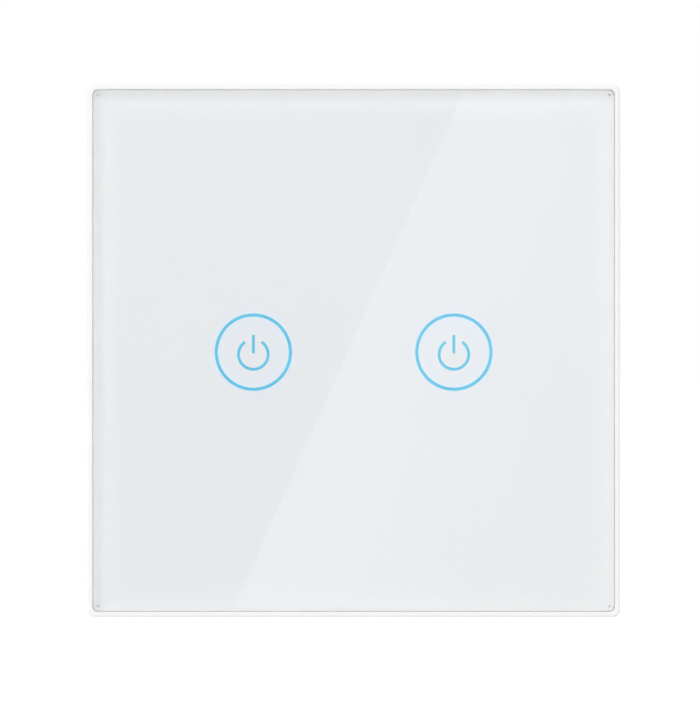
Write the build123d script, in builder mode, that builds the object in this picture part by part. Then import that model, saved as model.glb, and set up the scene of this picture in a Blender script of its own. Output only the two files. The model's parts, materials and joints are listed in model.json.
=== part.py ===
from build123d import *

import os
from math import cos, pi, radians, sin, sqrt

# A glass touch light switch with two touch points, for a wall box with screws 60.3 mm apart.
# +X is to the right and +Z is up, as seen by the user. -Y points out of the wall, towards the user.
# The wall plane is Y = 0, and the origin is midway between the two box screws.
# Each depth below is measured out of the wall, so what lies in the wall box is below zero.
# Sizes are in millimetres.

# Front panel
plate_width = 86.0
plate_height = 86.0
plate_corner = 1.2
rim_width = 0.9
rim_edge_round = 0.6
glass_thickness = 3.0
glass_gap = 0.13
glass_corner = 0.8
glass_bevel = 0.6
glass_arris = 0.25
glass_proud = 0.3
print_thickness = 0.2
print_margin = 0.5
diffuser_width = 15.0
diffuser_thickness = 0.2
tape_width = 4.6
tape_thickness = 0.5
tape_margin = 0.8

# Icons in the print
icon_spacing = 32.4
icon_drop = 0.25
ring_radius = 6.0
ring_stroke = 0.5
symbol_radius = 2.4
symbol_stroke = 0.46
symbol_drop = 0.37
symbol_bar_length = 3.05
symbol_bar_rise = 1.3
symbol_gap_half_angle = 38

# Panel carrier
skirt_thickness = 1.6
skirt_clearance = 0.6
wall_gap = 0.4
web_thickness = 1.2
web_window_width = 46.0
web_window_height = 13.0
web_window_corner = 2.0
web_window_gap = 5.0
pry_notch_width = 12.0
pry_notch_height = 1.6
pry_notch_depth = 1.0
peg_width = 6.0
peg_thickness = 1.8
peg_notch_depth = 0.5
peg_notch_height = 1.3
peg_inset = 2.6
peg_level_share = 0.4225
peg_floor_gap = 0.6

# Base plate
tray_wall = 1.6
tray_corner = 2.0
base_wall = 1.8
panel_seat_gap = 0.3
housing_pocket_depth = 0.8
housing_pocket_gap = 0.1
box_screw_spacing = 60.3
box_slot_width = 4.0
box_slot_length = 6.6
box_slot_pad_reach = 6.0
box_slot_pad_wall_gap = 3.05
box_slot_pad_height = 9.0
box_slot_pad_rise = 0.6
base_rib_thickness = 1.0
base_rib_rise = 1.6
base_rib_board_gap = 0.4
post_diameter = 5.0
post_length = 12.0
post_gap = 0.3
board_rest_width = 1.8
board_rest_length = 6.0
board_rest_inset = 0.6
peg_guide_thickness = 1.2
peg_guide_gap = 0.3

# Spring clips that hold the panel
clip_thickness = 0.3
clip_width = 4.6
clip_foot_length = 3.4
clip_bump = 0.35
clip_bump_height = 1.0
clip_peg_gap = 0.15
clip_tip_gap = 0.5
clip_lug_width = 1.4
clip_lug_rise = 0.6
clip_lug_gap = 0.05

# Control board and what it carries
board_standoff = 0.8
standoff_diameter = 4.6
control_board_edge_gap = 4.2
control_board_height = 50.0
control_board_thickness = 1.2
control_board_corner = 1.5
control_board_notch_gap = 0.4
board_screw_inset = 3.4
board_screw_diameter = 2.0
board_screw_length = 2.0
board_screw_head_diameter = 3.8
board_screw_head_height = 1.1
board_screw_slot = 0.6
board_screw_slot_depth = 0.5
light_chamber_depth = 3.3
shroud_outer_radius = 8.4
shroud_wall = 0.8
shroud_panel_gap = 0.3
shroud_web_gap = 0.6
shroud_foot_width = 3.0
shroud_foot_reach = 1.4
shroud_foot_thickness = 0.8
spring_wire = 0.4
spring_foot_radius = 2.4
spring_top_radius = 4.0
spring_panel_gap = 0.1
spring_leg_length = 0.4
spring_leg_bend = 0.6
spring_half_turns = 5
spring_wire_sides = 5
led_length = 1.6
led_width = 0.9
led_height = 0.7
led_circle_radius = 6.0
leds_at_each_icon = 4
chip_length = 9.0
chip_width = 3.9
chip_height = 1.2
chip_stand = 0.1
chip_lead_pitch = 1.1
chip_lead_width = 0.4
chip_lead_reach = 1.0
chip_lead_thickness = 0.2
chip_leads_a_side = 8
chip_drop = 14.5
passive_length = 1.6
passive_width = 0.8
passive_height = 0.6
passive_pitch = 3.0
passive_row_pitch = 2.0

# Connector between the boards
pin_count = 7
pin_pitch = 2.54
pin_side = 0.64
pin_socket_side = 0.9
pin_tail = 0.9
pin_end_gap = 1.4
header_width = 2.5
header_height = 2.5
header_gap = 0.1
header_transformer_gap = 0.5
header_window_gap = 1.2

# Rear housing
housing_wall = 1.6
housing_chamfer = 9.0
housing_edge_bevel = 0.8
housing_corner_round = 2.0
side_bay_width = 12.2
top_bay_height = 4.0
housing_boss_diameter = 6.2
housing_boss_gap = 0.2
housing_screw_diameter = 2.8
housing_screw_gap = 0.05
housing_screw_length = 17.0
housing_screw_passage = 3.2
housing_screw_head_diameter = 4.8
housing_screw_head_height = 1.9
housing_screw_head_bevel = 0.6
housing_screw_sink = 2.8
housing_screw_sink_diameter = 5.2
cross_recess_width = 0.9
cross_recess_depth = 0.9
cross_recess_length_share = 0.62
vent_width = 1.2
vent_length = 11.0
vent_pitch = 3.2
vents_in_a_row = 6
vent_rise = 5.0
vent_column_spacing = 24.0
top_vent_depth = 7.0
screwdriver_hole_diameter = 4.4
terminal_panel_sink = 0.5
terminal_panel_height = 8.0
terminal_panel_corner = 1.2

# Power board
power_board_drop = 6.1
power_board_thickness = 1.6
power_board_gap = 0.4
power_board_post_gap = 0.5
component_clearance = 0.1
solder_pin_gap = 0.1
solder_tail = 1.0

# Screw terminals
terminal_count = 4
terminal_cavity_width = 5.7
terminal_partition = 1.0
terminal_cavity_length = 8.4
terminal_front_wall = 1.0
terminal_back_wall = 1.2
terminal_wall_gap = 0.2
cage_side_gap = 0.2
cage_wall = 0.5
cage_floor = 0.8
cage_roof = 1.2
cage_length = 5.2
cage_end_gap = 0.2
cage_board_gap = 0.5
wire_space = 4.9
wire_window_width = 4.7
wire_window_gap = 0.15
wire_funnel = 0.6
contact_bar_thickness = 0.8
contact_bar_width = 3.9
contact_bar_gap = 0.3
contact_leg_inset = 0.8
cage_travel = 4.2
cage_stop_gap = 0.3
terminal_shoulder = 0.9
terminal_screw_diameter = 3.4
terminal_screw_thread_gap = 0.05
terminal_screw_passage_gap = 0.2
terminal_screw_head_diameter = 5.2
terminal_screw_head_height = 1.6
terminal_screw_head_gap = 0.1
terminal_screw_sink_gap = 0.2

# Relays
relay_width = 10.2
relay_length = 18.4
relay_height = 15.3
relay_gap = 2.0
relay_terminal_gap = 1.0
relay_wall = 0.6
relay_board_gap = 0.3
relay_base_thickness = 1.6
relay_base_gap = 0.05
relay_pin_side = 0.8
relay_pin_spread = 6.4
relay_coil_pin_spread = 5.0
yoke_thickness = 1.0
yoke_end_gap = 1.6
yoke_width = 6.4
core_diameter = 2.8
pole_diameter = 5.4
pole_thickness = 0.8
bobbin_width = 7.4
bobbin_flange = 0.7
bobbin_length = 8.6
bobbin_core_gap = 0.05
winding_diameter = 6.8
winding_gap = 0.05
coil_yoke_gap = 0.3
armature_thickness = 0.9
armature_width = 6.0
armature_length = 9.2
armature_seat_gap = 0.05
armature_travel_angle = 4
contact_strip_width = 3.0
contact_strip_thickness = 0.25
contact_strip_end_gap = 0.9
contact_diameter = 2.0
contact_thickness = 0.5
contact_end_inset = 1.2
contact_closed_gap = 0.05
contact_blade_thickness = 0.6
contact_blade_width = 3.4

# Power supply parts
transformer_gap = 1.2
transformer_width = 12.0
transformer_length = 11.0
transformer_height = 10.0
transformer_core_wall = 2.2
transformer_winding_gap = 0.2
transformer_board_gap = 0.5
transformer_pin_spread = 7.6
bulk_capacitor_diameter = 8.0
bulk_capacitor_height = 12.0
small_capacitor_diameter = 5.0
small_capacitor_height = 9.0
capacitor_bevel = 0.5
capacitor_gap = 1.0
film_capacitor_width = 5.0
film_capacitor_length = 13.0
film_capacitor_height = 11.0
varistor_diameter = 7.0
varistor_thickness = 3.2
varistor_edge = 0.8
varistor_stand = 1.2
fuse_diameter = 3.4
fuse_length = 6.5
fuse_bevel = 0.4
lead_diameter = 0.7
part_stand = 0.3

# One overrun serves all cuts
overrun = 1.0


def corner_places(reach_x, reach_z):
    """The four places that lie this far to each side of the centre and above and below it."""
    return [(side * reach_x, level * reach_z) for side in (-1, 1) for level in (-1, 1)]


# Depths out of the wall, from the base plate to the face of the glass
control_board_back = base_wall + board_standoff
control_board_front = control_board_back + control_board_thickness
diffuser_back = control_board_front + light_chamber_depth
print_back = diffuser_back + diffuser_thickness
glass_back = print_back + print_thickness
glass_front = glass_back + glass_thickness
rim_front = glass_front - glass_proud
web_front = print_back - tape_thickness
web_back = web_front - web_thickness
tray_front = web_back - panel_seat_gap

# Depths behind the wall plane, below zero
power_board_front = -power_board_drop
power_board_back = power_board_front - power_board_thickness

# Widths and heights of the panel's layers
pocket_width = plate_width - 2 * rim_width
pocket_height = plate_height - 2 * rim_width
glass_width = pocket_width - 2 * glass_gap
glass_height = pocket_height - 2 * glass_gap
print_width = glass_width - 2 * print_margin
print_height = glass_height - 2 * print_margin
tape_outer_width = glass_width - 2 * tape_margin
tape_outer_height = glass_height - 2 * tape_margin
skirt_inner_width = plate_width - 2 * skirt_thickness
skirt_inner_height = plate_height - 2 * skirt_thickness
tray_width = skirt_inner_width - 2 * skirt_clearance
tray_height = skirt_inner_height - 2 * skirt_clearance
icon_centres = [(side * icon_spacing / 2, -icon_drop) for side in (-1, 1)]
tray_inner_width = tray_width - 2 * tray_wall
control_board_width = tray_inner_width - 2 * control_board_edge_gap
peg_x = tray_inner_width / 2 - peg_inset
tray_inner_height = tray_height - 2 * tray_wall
peg_z = (control_board_height + (tray_inner_height - control_board_height) * peg_level_share) / 2
peg_places = corner_places(peg_x, peg_z)
box_screw_places = [(side * box_screw_spacing / 2, 0) for side in (-1, 1)]

# Terminal block, measured from the back of the power board
cage_width = terminal_cavity_width - 2 * cage_side_gap
cage_window_height = wire_space + contact_bar_thickness + contact_bar_gap
cage_height = cage_floor + cage_window_height + cage_roof
wire_low = cage_board_gap + cage_floor
bar_low = wire_low + wire_space
bar_high = bar_low + contact_bar_thickness
cavity_height = cage_board_gap + cage_height + cage_travel + cage_stop_gap
screw_seat = cavity_height + terminal_shoulder
screw_head_low = screw_seat + terminal_screw_head_gap
terminal_height = screw_head_low + terminal_screw_head_height
terminal_pitch = terminal_cavity_width + terminal_partition
terminal_row_width = terminal_count * terminal_pitch + terminal_partition
terminal_length = terminal_front_wall + terminal_cavity_length + terminal_back_wall
terminal_offsets = [(number - (terminal_count - 1) / 2) * terminal_pitch for number in range(terminal_count)]

# The housing is as large as what it holds
tallest_part = max(terminal_height, relay_height, bulk_capacitor_height, transformer_height)
housing_inner_width = 2 * relay_width + relay_gap + 2 * side_bay_width
housing_inner_height = (
    terminal_wall_gap + terminal_length + relay_terminal_gap + relay_length
    + transformer_gap + transformer_length + top_bay_height
)
housing_width = housing_inner_width + 2 * housing_wall
housing_height = housing_inner_height + 2 * housing_wall
housing_inner_back = power_board_back - tallest_part - component_clearance
housing_back = housing_inner_back - housing_wall
housing_front = housing_pocket_depth
housing_inner_chamfer = housing_chamfer - housing_wall * (2 - sqrt(2))
inner_bottom = -housing_inner_height / 2
terminal_bottom = inner_bottom + terminal_wall_gap
terminal_top = terminal_bottom + terminal_length
cavity_bottom = terminal_bottom + terminal_front_wall
cage_bottom = cavity_bottom + cage_end_gap
terminal_screw_level = cage_bottom + cage_length / 2
relay_level = terminal_top + relay_terminal_gap + relay_length / 2
relay_top = relay_level + relay_length / 2
transformer_level = relay_top + transformer_gap + transformer_length / 2
transformer_top = transformer_level + transformer_length / 2
header_level = transformer_top + header_transformer_gap + header_width / 2
relay_x = (relay_width + relay_gap) / 2
relay_xs = (-relay_x, relay_x)
relays_edge = relay_x + relay_width / 2

# Posts, bosses and screws stand along the inner side of the housing's cut corners
post_inset = (housing_wall + post_gap + post_diameter / 2) / sqrt(2)
post_x = housing_width / 2 - housing_chamfer / 2 - post_inset
post_z = housing_height / 2 - housing_chamfer / 2 - post_inset
post_places = corner_places(post_x, post_z)
housing_screw_seat = housing_back + housing_screw_sink
board_rest_x = housing_inner_width / 2 - board_rest_inset - board_rest_width / 2
board_rest_places = [(side * board_rest_x, 0) for side in (-1, 1)]

board_screw_x = control_board_width / 2 - board_screw_inset
board_screw_z = control_board_height / 2 - board_screw_inset
board_screw_places = corner_places(board_screw_x, board_screw_z)


def facing(depth):
    """The plane parallel to the wall at this depth, drawn as the user sees it."""
    return Plane.XZ.offset(depth)


def write(piece, name):
    """Labels a finished piece and writes its STEP file."""
    piece.part.label = name
    export_step(piece.part, f"parts/{name}.step")


def cut_corner_outline(width, height, chamfer_length, corner_round):
    """Draws a rectangle with cut corners, each bend rounded, in the open sketch."""
    with BuildSketch(mode=Mode.PRIVATE) as outline:
        Rectangle(width, height)
        chamfer(outline.vertices(), length=chamfer_length)
        fillet(outline.vertices(), radius=corner_round)
    add(outline.sketch)


def coil_edges(centre_x, centre_z, low, high):
    """Edges of a widening coil: each half turn is two arcs that meet in a common tangent.

    low and high are the depths of the wire's centre line at the coil's two ends.
    """
    points = []
    tangents = []
    sweep_angle = spring_half_turns * pi
    for half_turn in range(spring_half_turns + 1):
        share = half_turn / spring_half_turns
        angle = sweep_angle * share
        radius = spring_foot_radius + (spring_top_radius - spring_foot_radius) * share
        radius_rate = (spring_top_radius - spring_foot_radius) / sweep_angle
        depth_rate = (high - low) / sweep_angle
        points.append(Vector(
            centre_x + radius * cos(angle), -(low + (high - low) * share), centre_z + radius * sin(angle),
        ))
        tangents.append(Vector(
            radius_rate * cos(angle) - radius * sin(angle),
            -depth_rate,
            radius_rate * sin(angle) + radius * cos(angle),
        ).normalized())
    edges = []
    for start, end, leaving, arriving in zip(points, points[1:], tangents, tangents[1:]):
        chord = end - start
        both = leaving + arriving
        square = 2 * (leaving.dot(arriving) - 1)
        linear = -2 * chord.dot(both)
        constant = chord.dot(chord)
        reach = (-linear - sqrt(linear * linear - 4 * square * constant)) / (2 * square)
        middle = (start + end + (leaving - arriving) * reach) * 0.5
        crossing = (end - arriving * reach) - (start + leaving * reach)
        edges.append(Edge.make_tangent_arc(start, leaving, middle))
        edges.append(Edge.make_tangent_arc(middle, crossing.normalized(), end))
    return edges


def leg_edges(coil_start, coil_direction, foot_depth):
    """Edges of a coil's leg: a straight run that stands square on the board, then a bend into the coil."""
    upwards = Vector(0, -1, 0)
    half_turn = radians(upwards.get_angle(coil_direction)) / 2
    bend_chord = (upwards + coil_direction).normalized() * (2 * spring_leg_bend * sin(half_turn))
    bend_start = coil_start - bend_chord
    foot = Vector(bend_start.X, -foot_depth, bend_start.Z)
    return [Edge.make_line(foot, bend_start), Edge.make_tangent_arc(bend_start, upwards, coil_start)]


def draw_cross_slots(places, head_diameter):
    """Draws the two crossing slots of a screw's driver recess at each place, in the open sketch."""
    with Locations(*places):
        Rectangle(head_diameter * cross_recess_length_share, cross_recess_width)
        Rectangle(cross_recess_width, head_diameter * cross_recess_length_share)


os.makedirs("parts", exist_ok=True)

# Glass panel, with a bevel round its face
with BuildPart() as glass_panel:
    with BuildSketch(facing(glass_back)):
        RectangleRounded(glass_width, glass_height, glass_corner)
    extrude(amount=glass_thickness)
    chamfer(glass_panel.faces().sort_by(Axis.Y)[0].edges(), length=glass_bevel)
    chamfer(glass_panel.faces().sort_by(Axis.Y)[-1].edges(), length=glass_arris)
write(glass_panel, "glass_panel")

# White print on the back of the glass, open at the strokes of the two icons
with BuildSketch() as icon_strokes:
    Circle(ring_radius + ring_stroke / 2)
    Circle(ring_radius - ring_stroke / 2, mode=Mode.SUBTRACT)
    SlotArc(
        CenterArc(
            (0, -symbol_drop), symbol_radius, 90 + symbol_gap_half_angle, 360 - 2 * symbol_gap_half_angle
        ),
        symbol_stroke,
    )
    with Locations((0, symbol_bar_rise)):
        SlotOverall(symbol_bar_length, symbol_stroke, rotation=90)

with BuildPart() as back_print:
    with BuildSketch(facing(print_back)):
        RectangleRounded(print_width, print_height, glass_corner)
        with Locations(*icon_centres):
            add(icon_strokes.sketch, mode=Mode.SUBTRACT)
    extrude(amount=print_thickness)
write(back_print, "back_print")

# Blue light diffusers behind the icons
with BuildPart() as icon_diffusers:
    with BuildSketch(facing(diffuser_back)):
        with Locations(*icon_centres):
            Rectangle(diffuser_width, diffuser_width)
    extrude(amount=diffuser_thickness)
write(icon_diffusers, "icon_diffusers")

# Foam tape that bonds the glass to its carrier
with BuildPart() as adhesive_tape:
    with BuildSketch(facing(web_front)):
        RectangleRounded(tape_outer_width, tape_outer_height, glass_corner)
        RectangleRounded(
            tape_outer_width - 2 * tape_width, tape_outer_height - 2 * tape_width, glass_corner,
            mode=Mode.SUBTRACT,
        )
    extrude(amount=tape_thickness)
write(adhesive_tape, "adhesive_tape")

# Panel carrier: rim round the glass, web behind it, skirt round the base plate and four pegs
with BuildPart() as panel_carrier:
    with BuildSketch(facing(wall_gap)):
        RectangleRounded(plate_width, plate_height, plate_corner)
    extrude(amount=rim_front - wall_gap)
    with BuildSketch(facing(web_front)):
        RectangleRounded(pocket_width, pocket_height, glass_corner)
    extrude(amount=rim_front - web_front, mode=Mode.SUBTRACT)
    with BuildSketch(facing(web_back)):
        RectangleRounded(skirt_inner_width, skirt_inner_height, tray_corner)
    extrude(amount=-(web_back - wall_gap), mode=Mode.SUBTRACT)
    fillet(panel_carrier.faces().sort_by(Axis.Y)[0].outer_wire().edges(), radius=rim_edge_round)
    web_window_level = shroud_outer_radius + shroud_web_gap + web_window_gap + web_window_height / 2
    with BuildSketch(facing(web_back)):
        with Locations(*icon_centres):
            Circle(shroud_outer_radius + shroud_web_gap)
        with Locations((0, web_window_level), (0, -web_window_level)):
            RectangleRounded(web_window_width, web_window_height, web_window_corner)
    extrude(amount=web_thickness, mode=Mode.SUBTRACT)
    with BuildSketch(facing(wall_gap)):
        with Locations((0, -plate_height / 2)):
            Rectangle(pry_notch_width, 2 * pry_notch_depth)
    extrude(amount=pry_notch_height, mode=Mode.SUBTRACT)
    peg_tip = base_wall + peg_floor_gap
    with BuildSketch(facing(peg_tip)):
        with Locations(*peg_places):
            Rectangle(peg_thickness, peg_width)
    extrude(amount=web_back - peg_tip)
    notch_depth = (peg_tip + web_back) / 2
    for side in (-1, 1):
        notch_x = side * (peg_x - peg_thickness / 2)
        with BuildSketch(Plane.XY.offset(-peg_z - peg_width / 2)):
            with BuildLine():
                Polyline(
                    (notch_x, -(notch_depth - peg_notch_height / 2)),
                    (notch_x + side * peg_notch_depth, -notch_depth),
                    (notch_x, -(notch_depth + peg_notch_height / 2)),
                    close=True,
                )
            make_face()
        extrude(amount=2 * peg_z + peg_width, mode=Mode.SUBTRACT)
write(panel_carrier, "panel_carrier")

# Base plate: tray, slots for the box screws, rests for both boards and posts for the housing screws
slot_notch_reach = box_screw_spacing / 2 - box_slot_pad_reach
slot_pad_end = tray_inner_width / 2 - box_slot_pad_wall_gap
with BuildPart() as base_plate:
    with BuildSketch(facing(0)):
        RectangleRounded(tray_width, tray_height, tray_corner)
    extrude(amount=tray_front)
    with BuildSketch(facing(base_wall)):
        RectangleRounded(tray_inner_width, tray_inner_height, tray_corner)
    extrude(amount=tray_front - base_wall, mode=Mode.SUBTRACT)
    with BuildSketch(facing(base_wall)):
        with Locations(*[(side * (slot_notch_reach + slot_pad_end) / 2, 0) for side in (-1, 1)]):
            RectangleRounded(slot_pad_end - slot_notch_reach, box_slot_pad_height, box_slot_width / 2)
    extrude(amount=box_slot_pad_rise)
    # Ribs run from the tray's wall to the edge of the control board
    rib_reach = (tray_inner_height - control_board_height) / 2 - base_rib_board_gap
    rib_level = (tray_inner_height - rib_reach) / 2
    with BuildSketch(facing(base_wall)):
        with Locations(*[(x, level * rib_level) for x in (-post_x, 0, post_x) for level in (-1, 1)]):
            Rectangle(base_rib_thickness, rib_reach)
    extrude(amount=base_rib_rise)
    with BuildSketch(facing(base_wall)):
        with Locations(*board_screw_places):
            Circle(standoff_diameter / 2)
    extrude(amount=board_standoff)
    with BuildSketch(facing(0)):
        cut_corner_outline(
            housing_width + 2 * housing_pocket_gap, housing_height + 2 * housing_pocket_gap,
            housing_chamfer, housing_corner_round,
        )
    extrude(amount=housing_pocket_depth, mode=Mode.SUBTRACT)
    with BuildSketch(facing(base_wall)):
        with Locations(*post_places):
            Circle(post_diameter / 2)
    extrude(amount=-(base_wall + post_length))
    with BuildSketch(facing(base_wall)):
        with Locations(*board_rest_places):
            Rectangle(board_rest_width, board_rest_length)
    extrude(amount=-(base_wall + power_board_drop))
    guide_x = peg_x + peg_thickness / 2 + peg_guide_gap + peg_guide_thickness / 2
    with BuildSketch(facing(base_wall)):
        with Locations(*corner_places(guide_x, peg_z)):
            Rectangle(peg_guide_thickness, peg_width)
    extrude(amount=tray_front - base_wall)
    clip_leaf_x = peg_x - peg_thickness / 2 - clip_peg_gap - clip_thickness / 2
    clip_lug_x = clip_leaf_x - clip_foot_length / 2
    with BuildSketch(facing(base_wall)):
        with Locations(*corner_places(clip_lug_x, peg_z)):
            Rectangle(clip_lug_width, clip_lug_width)
    extrude(amount=clip_thickness + clip_lug_rise)
    with BuildSketch(facing(0)):
        with Locations(*box_screw_places):
            SlotOverall(box_slot_length, box_slot_width)
        with Locations((0, header_level)):
            Rectangle(pin_count * pin_pitch + 2 * header_window_gap, header_width + 2 * header_window_gap)
    extrude(amount=base_wall + box_slot_pad_rise, mode=Mode.SUBTRACT)
    with BuildSketch(facing(-post_length)):
        with Locations(*post_places):
            Circle(housing_screw_diameter / 2 + housing_screw_gap)
    extrude(amount=post_length, mode=Mode.SUBTRACT)
    with BuildSketch(facing(control_board_back)):
        with Locations(*board_screw_places):
            Circle(board_screw_diameter / 2 + housing_screw_gap)
    extrude(amount=-(board_screw_length - control_board_thickness + housing_pocket_gap), mode=Mode.SUBTRACT)
write(base_plate, "base_plate")

# Four sprung clips that grip the carrier's pegs
with BuildPart() as panel_clips:
    bump_depth = (base_wall + peg_floor_gap + web_back) / 2
    for side in (-1, 1):
        for level in (-1, 1):
            leaf_x = side * clip_leaf_x
            foot_y = -(base_wall + clip_thickness / 2)
            with BuildSketch(Plane.XY.offset(level * peg_z - clip_width / 2)):
                with BuildLine():
                    Polyline(
                        (leaf_x - side * clip_foot_length, foot_y),
                        (leaf_x, foot_y),
                        (leaf_x, -(bump_depth - clip_bump_height / 2)),
                        (leaf_x + side * clip_bump, -bump_depth),
                        (leaf_x, -(bump_depth + clip_bump_height / 2)),
                        (leaf_x, -(web_back - clip_tip_gap)),
                    )
                trace(line_width=clip_thickness)
            extrude(amount=clip_width)
    with BuildSketch(facing(0)):
        with Locations(*corner_places(clip_lug_x, peg_z)):
            Rectangle(clip_lug_width + 2 * clip_lug_gap, clip_lug_width + 2 * clip_lug_gap)
    extrude(amount=control_board_back, mode=Mode.SUBTRACT)
write(panel_clips, "panel_clips")

# Control board, notched on both sides to leave the box screws clear
with BuildPart() as control_board:
    notch_width = control_board_width / 2 - slot_notch_reach + control_board_notch_gap
    with BuildSketch(facing(control_board_back)):
        RectangleRounded(control_board_width, control_board_height, control_board_corner)
        with Locations(*[(side * control_board_width / 2, 0) for side in (-1, 1)]):
            RectangleRounded(
                2 * notch_width, box_slot_pad_height + 2 * control_board_notch_gap, control_board_corner,
                mode=Mode.SUBTRACT,
            )
        with Locations(*board_screw_places):
            Circle(board_screw_diameter / 2 + housing_screw_gap, mode=Mode.SUBTRACT)
    extrude(amount=control_board_thickness)
write(control_board, "control_board")

# Screws of the control board
with BuildPart() as control_board_screws:
    screw_top = control_board_front + board_screw_head_height
    with BuildSketch(facing(control_board_front)):
        with Locations(*board_screw_places):
            Circle(board_screw_head_diameter / 2)
    extrude(amount=board_screw_head_height)
    with BuildSketch(facing(control_board_front)):
        with Locations(*board_screw_places):
            Circle(board_screw_diameter / 2)
    extrude(amount=-board_screw_length)
    with BuildSketch(facing(screw_top)):
        with Locations(*board_screw_places):
            Rectangle(board_screw_head_diameter, board_screw_slot)
    extrude(amount=-board_screw_slot_depth, mode=Mode.SUBTRACT)
write(control_board_screws, "control_board_screws")

# Cups that keep each icon's light to itself, with feet on the control board
with BuildPart() as light_shrouds:
    with BuildSketch(facing(control_board_front)):
        with Locations(*icon_centres):
            Circle(shroud_outer_radius)
            with PolarLocations(shroud_outer_radius, 4, start_angle=45):
                Rectangle(2 * shroud_foot_reach, shroud_foot_width)
        with Locations(*icon_centres):
            Circle(shroud_outer_radius - shroud_wall, mode=Mode.SUBTRACT)
    extrude(amount=shroud_foot_thickness)
    with BuildSketch(facing(control_board_front)):
        with Locations(*icon_centres):
            Circle(shroud_outer_radius)
            Circle(shroud_outer_radius - shroud_wall, mode=Mode.SUBTRACT)
    extrude(amount=light_chamber_depth - shroud_panel_gap)
write(light_shrouds, "light_shrouds")

# Sprung touch electrodes, each on its leg and wound wider towards the glass
with BuildPart() as touch_springs:
    coil_low = control_board_front + spring_leg_length + spring_leg_bend
    coil_high = diffuser_back - spring_panel_gap - spring_wire / 2
    for icon_x, icon_z in icon_centres:
        turns = coil_edges(icon_x, icon_z, coil_low, coil_high)
        leg = leg_edges(turns[0] @ 0, turns[0] % 0, control_board_front)
        with BuildSketch(Plane(origin=leg[0] @ 0, z_dir=leg[0] % 0)):
            RegularPolygon(spring_wire / 2, spring_wire_sides)
        sweep(path=Wire(leg + turns))
write(touch_springs, "touch_springs")
half_turn_points = [turns[0] @ 0] + [arc @ 1 for arc in turns[1::2]]
turn_distances = [(upper - lower).length for lower, upper in zip(half_turn_points, half_turn_points[2:])]
turn_gap = min(turn_distances) - spring_wire
print(f"touch springs: least gap between turns {turn_gap:.2f} mm")

# Blue indicator lamps round each touch point
with BuildPart() as indicator_leds:
    with BuildSketch(facing(control_board_front)):
        with Locations(*icon_centres):
            with PolarLocations(led_circle_radius, leds_at_each_icon):
                Rectangle(led_width, led_length)
    extrude(amount=led_height)
write(indicator_leds, "indicator_leds")

# Touch controller chip, body and leads
with BuildPart() as touch_controller:
    chip_low = control_board_front + chip_stand
    with BuildSketch(facing(chip_low)):
        with Locations((0, -chip_drop)):
            Rectangle(chip_length, chip_width)
    extrude(amount=chip_height)
    chamfer(touch_controller.faces().sort_by(Axis.Y)[0].edges(), length=chip_stand)
    lead_row_start = -(chip_leads_a_side - 1) / 2 * chip_lead_pitch
    lead_offsets = [lead_row_start + number * chip_lead_pitch for number in range(chip_leads_a_side)]
    with BuildSketch(facing(control_board_front)):
        with Locations((0, -chip_drop)):
            with Locations(*[(offset, 0) for offset in lead_offsets]):
                Rectangle(chip_lead_width, chip_width + 2 * chip_lead_reach)
    extrude(amount=chip_lead_thickness)
write(touch_controller, "touch_controller")

# Small resistors and capacitors beside the chip
with BuildPart() as chip_passives:
    passive_reaches = [chip_length / 2 + passive_pitch * step for step in (1, 2, 3)]
    with BuildSketch(facing(control_board_front)):
        with Locations(*[
            (side * reach, -chip_drop + row * passive_row_pitch)
            for side in (-1, 1) for reach in passive_reaches for row in (-1, 0, 1)
        ]):
            Rectangle(passive_length, passive_width)
    extrude(amount=passive_height)
write(chip_passives, "chip_passives")

# Socket strip behind the control board and pin strip on the power board
header_length = pin_count * pin_pitch
header_front = power_board_front + header_height
socket_low = header_front + header_gap
pin_places = [((number - (pin_count - 1) / 2) * pin_pitch, header_level) for number in range(pin_count)]
with BuildPart() as socket_strip:
    with BuildSketch(facing(socket_low)):
        with Locations((0, header_level)):
            Rectangle(header_length, header_width)
        with Locations(*pin_places):
            Rectangle(pin_socket_side, pin_socket_side, mode=Mode.SUBTRACT)
    extrude(amount=control_board_back - socket_low)
write(socket_strip, "socket_strip")

with BuildPart() as pin_strip:
    with BuildSketch(facing(power_board_front)):
        with Locations((0, header_level)):
            Rectangle(header_length, header_width)
    extrude(amount=header_height)
    with BuildSketch(facing(power_board_back - pin_tail)):
        with Locations(*pin_places):
            Rectangle(pin_side, pin_side)
    extrude(amount=control_board_back - pin_end_gap - power_board_back + pin_tail)
write(pin_strip, "pin_strip")

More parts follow.
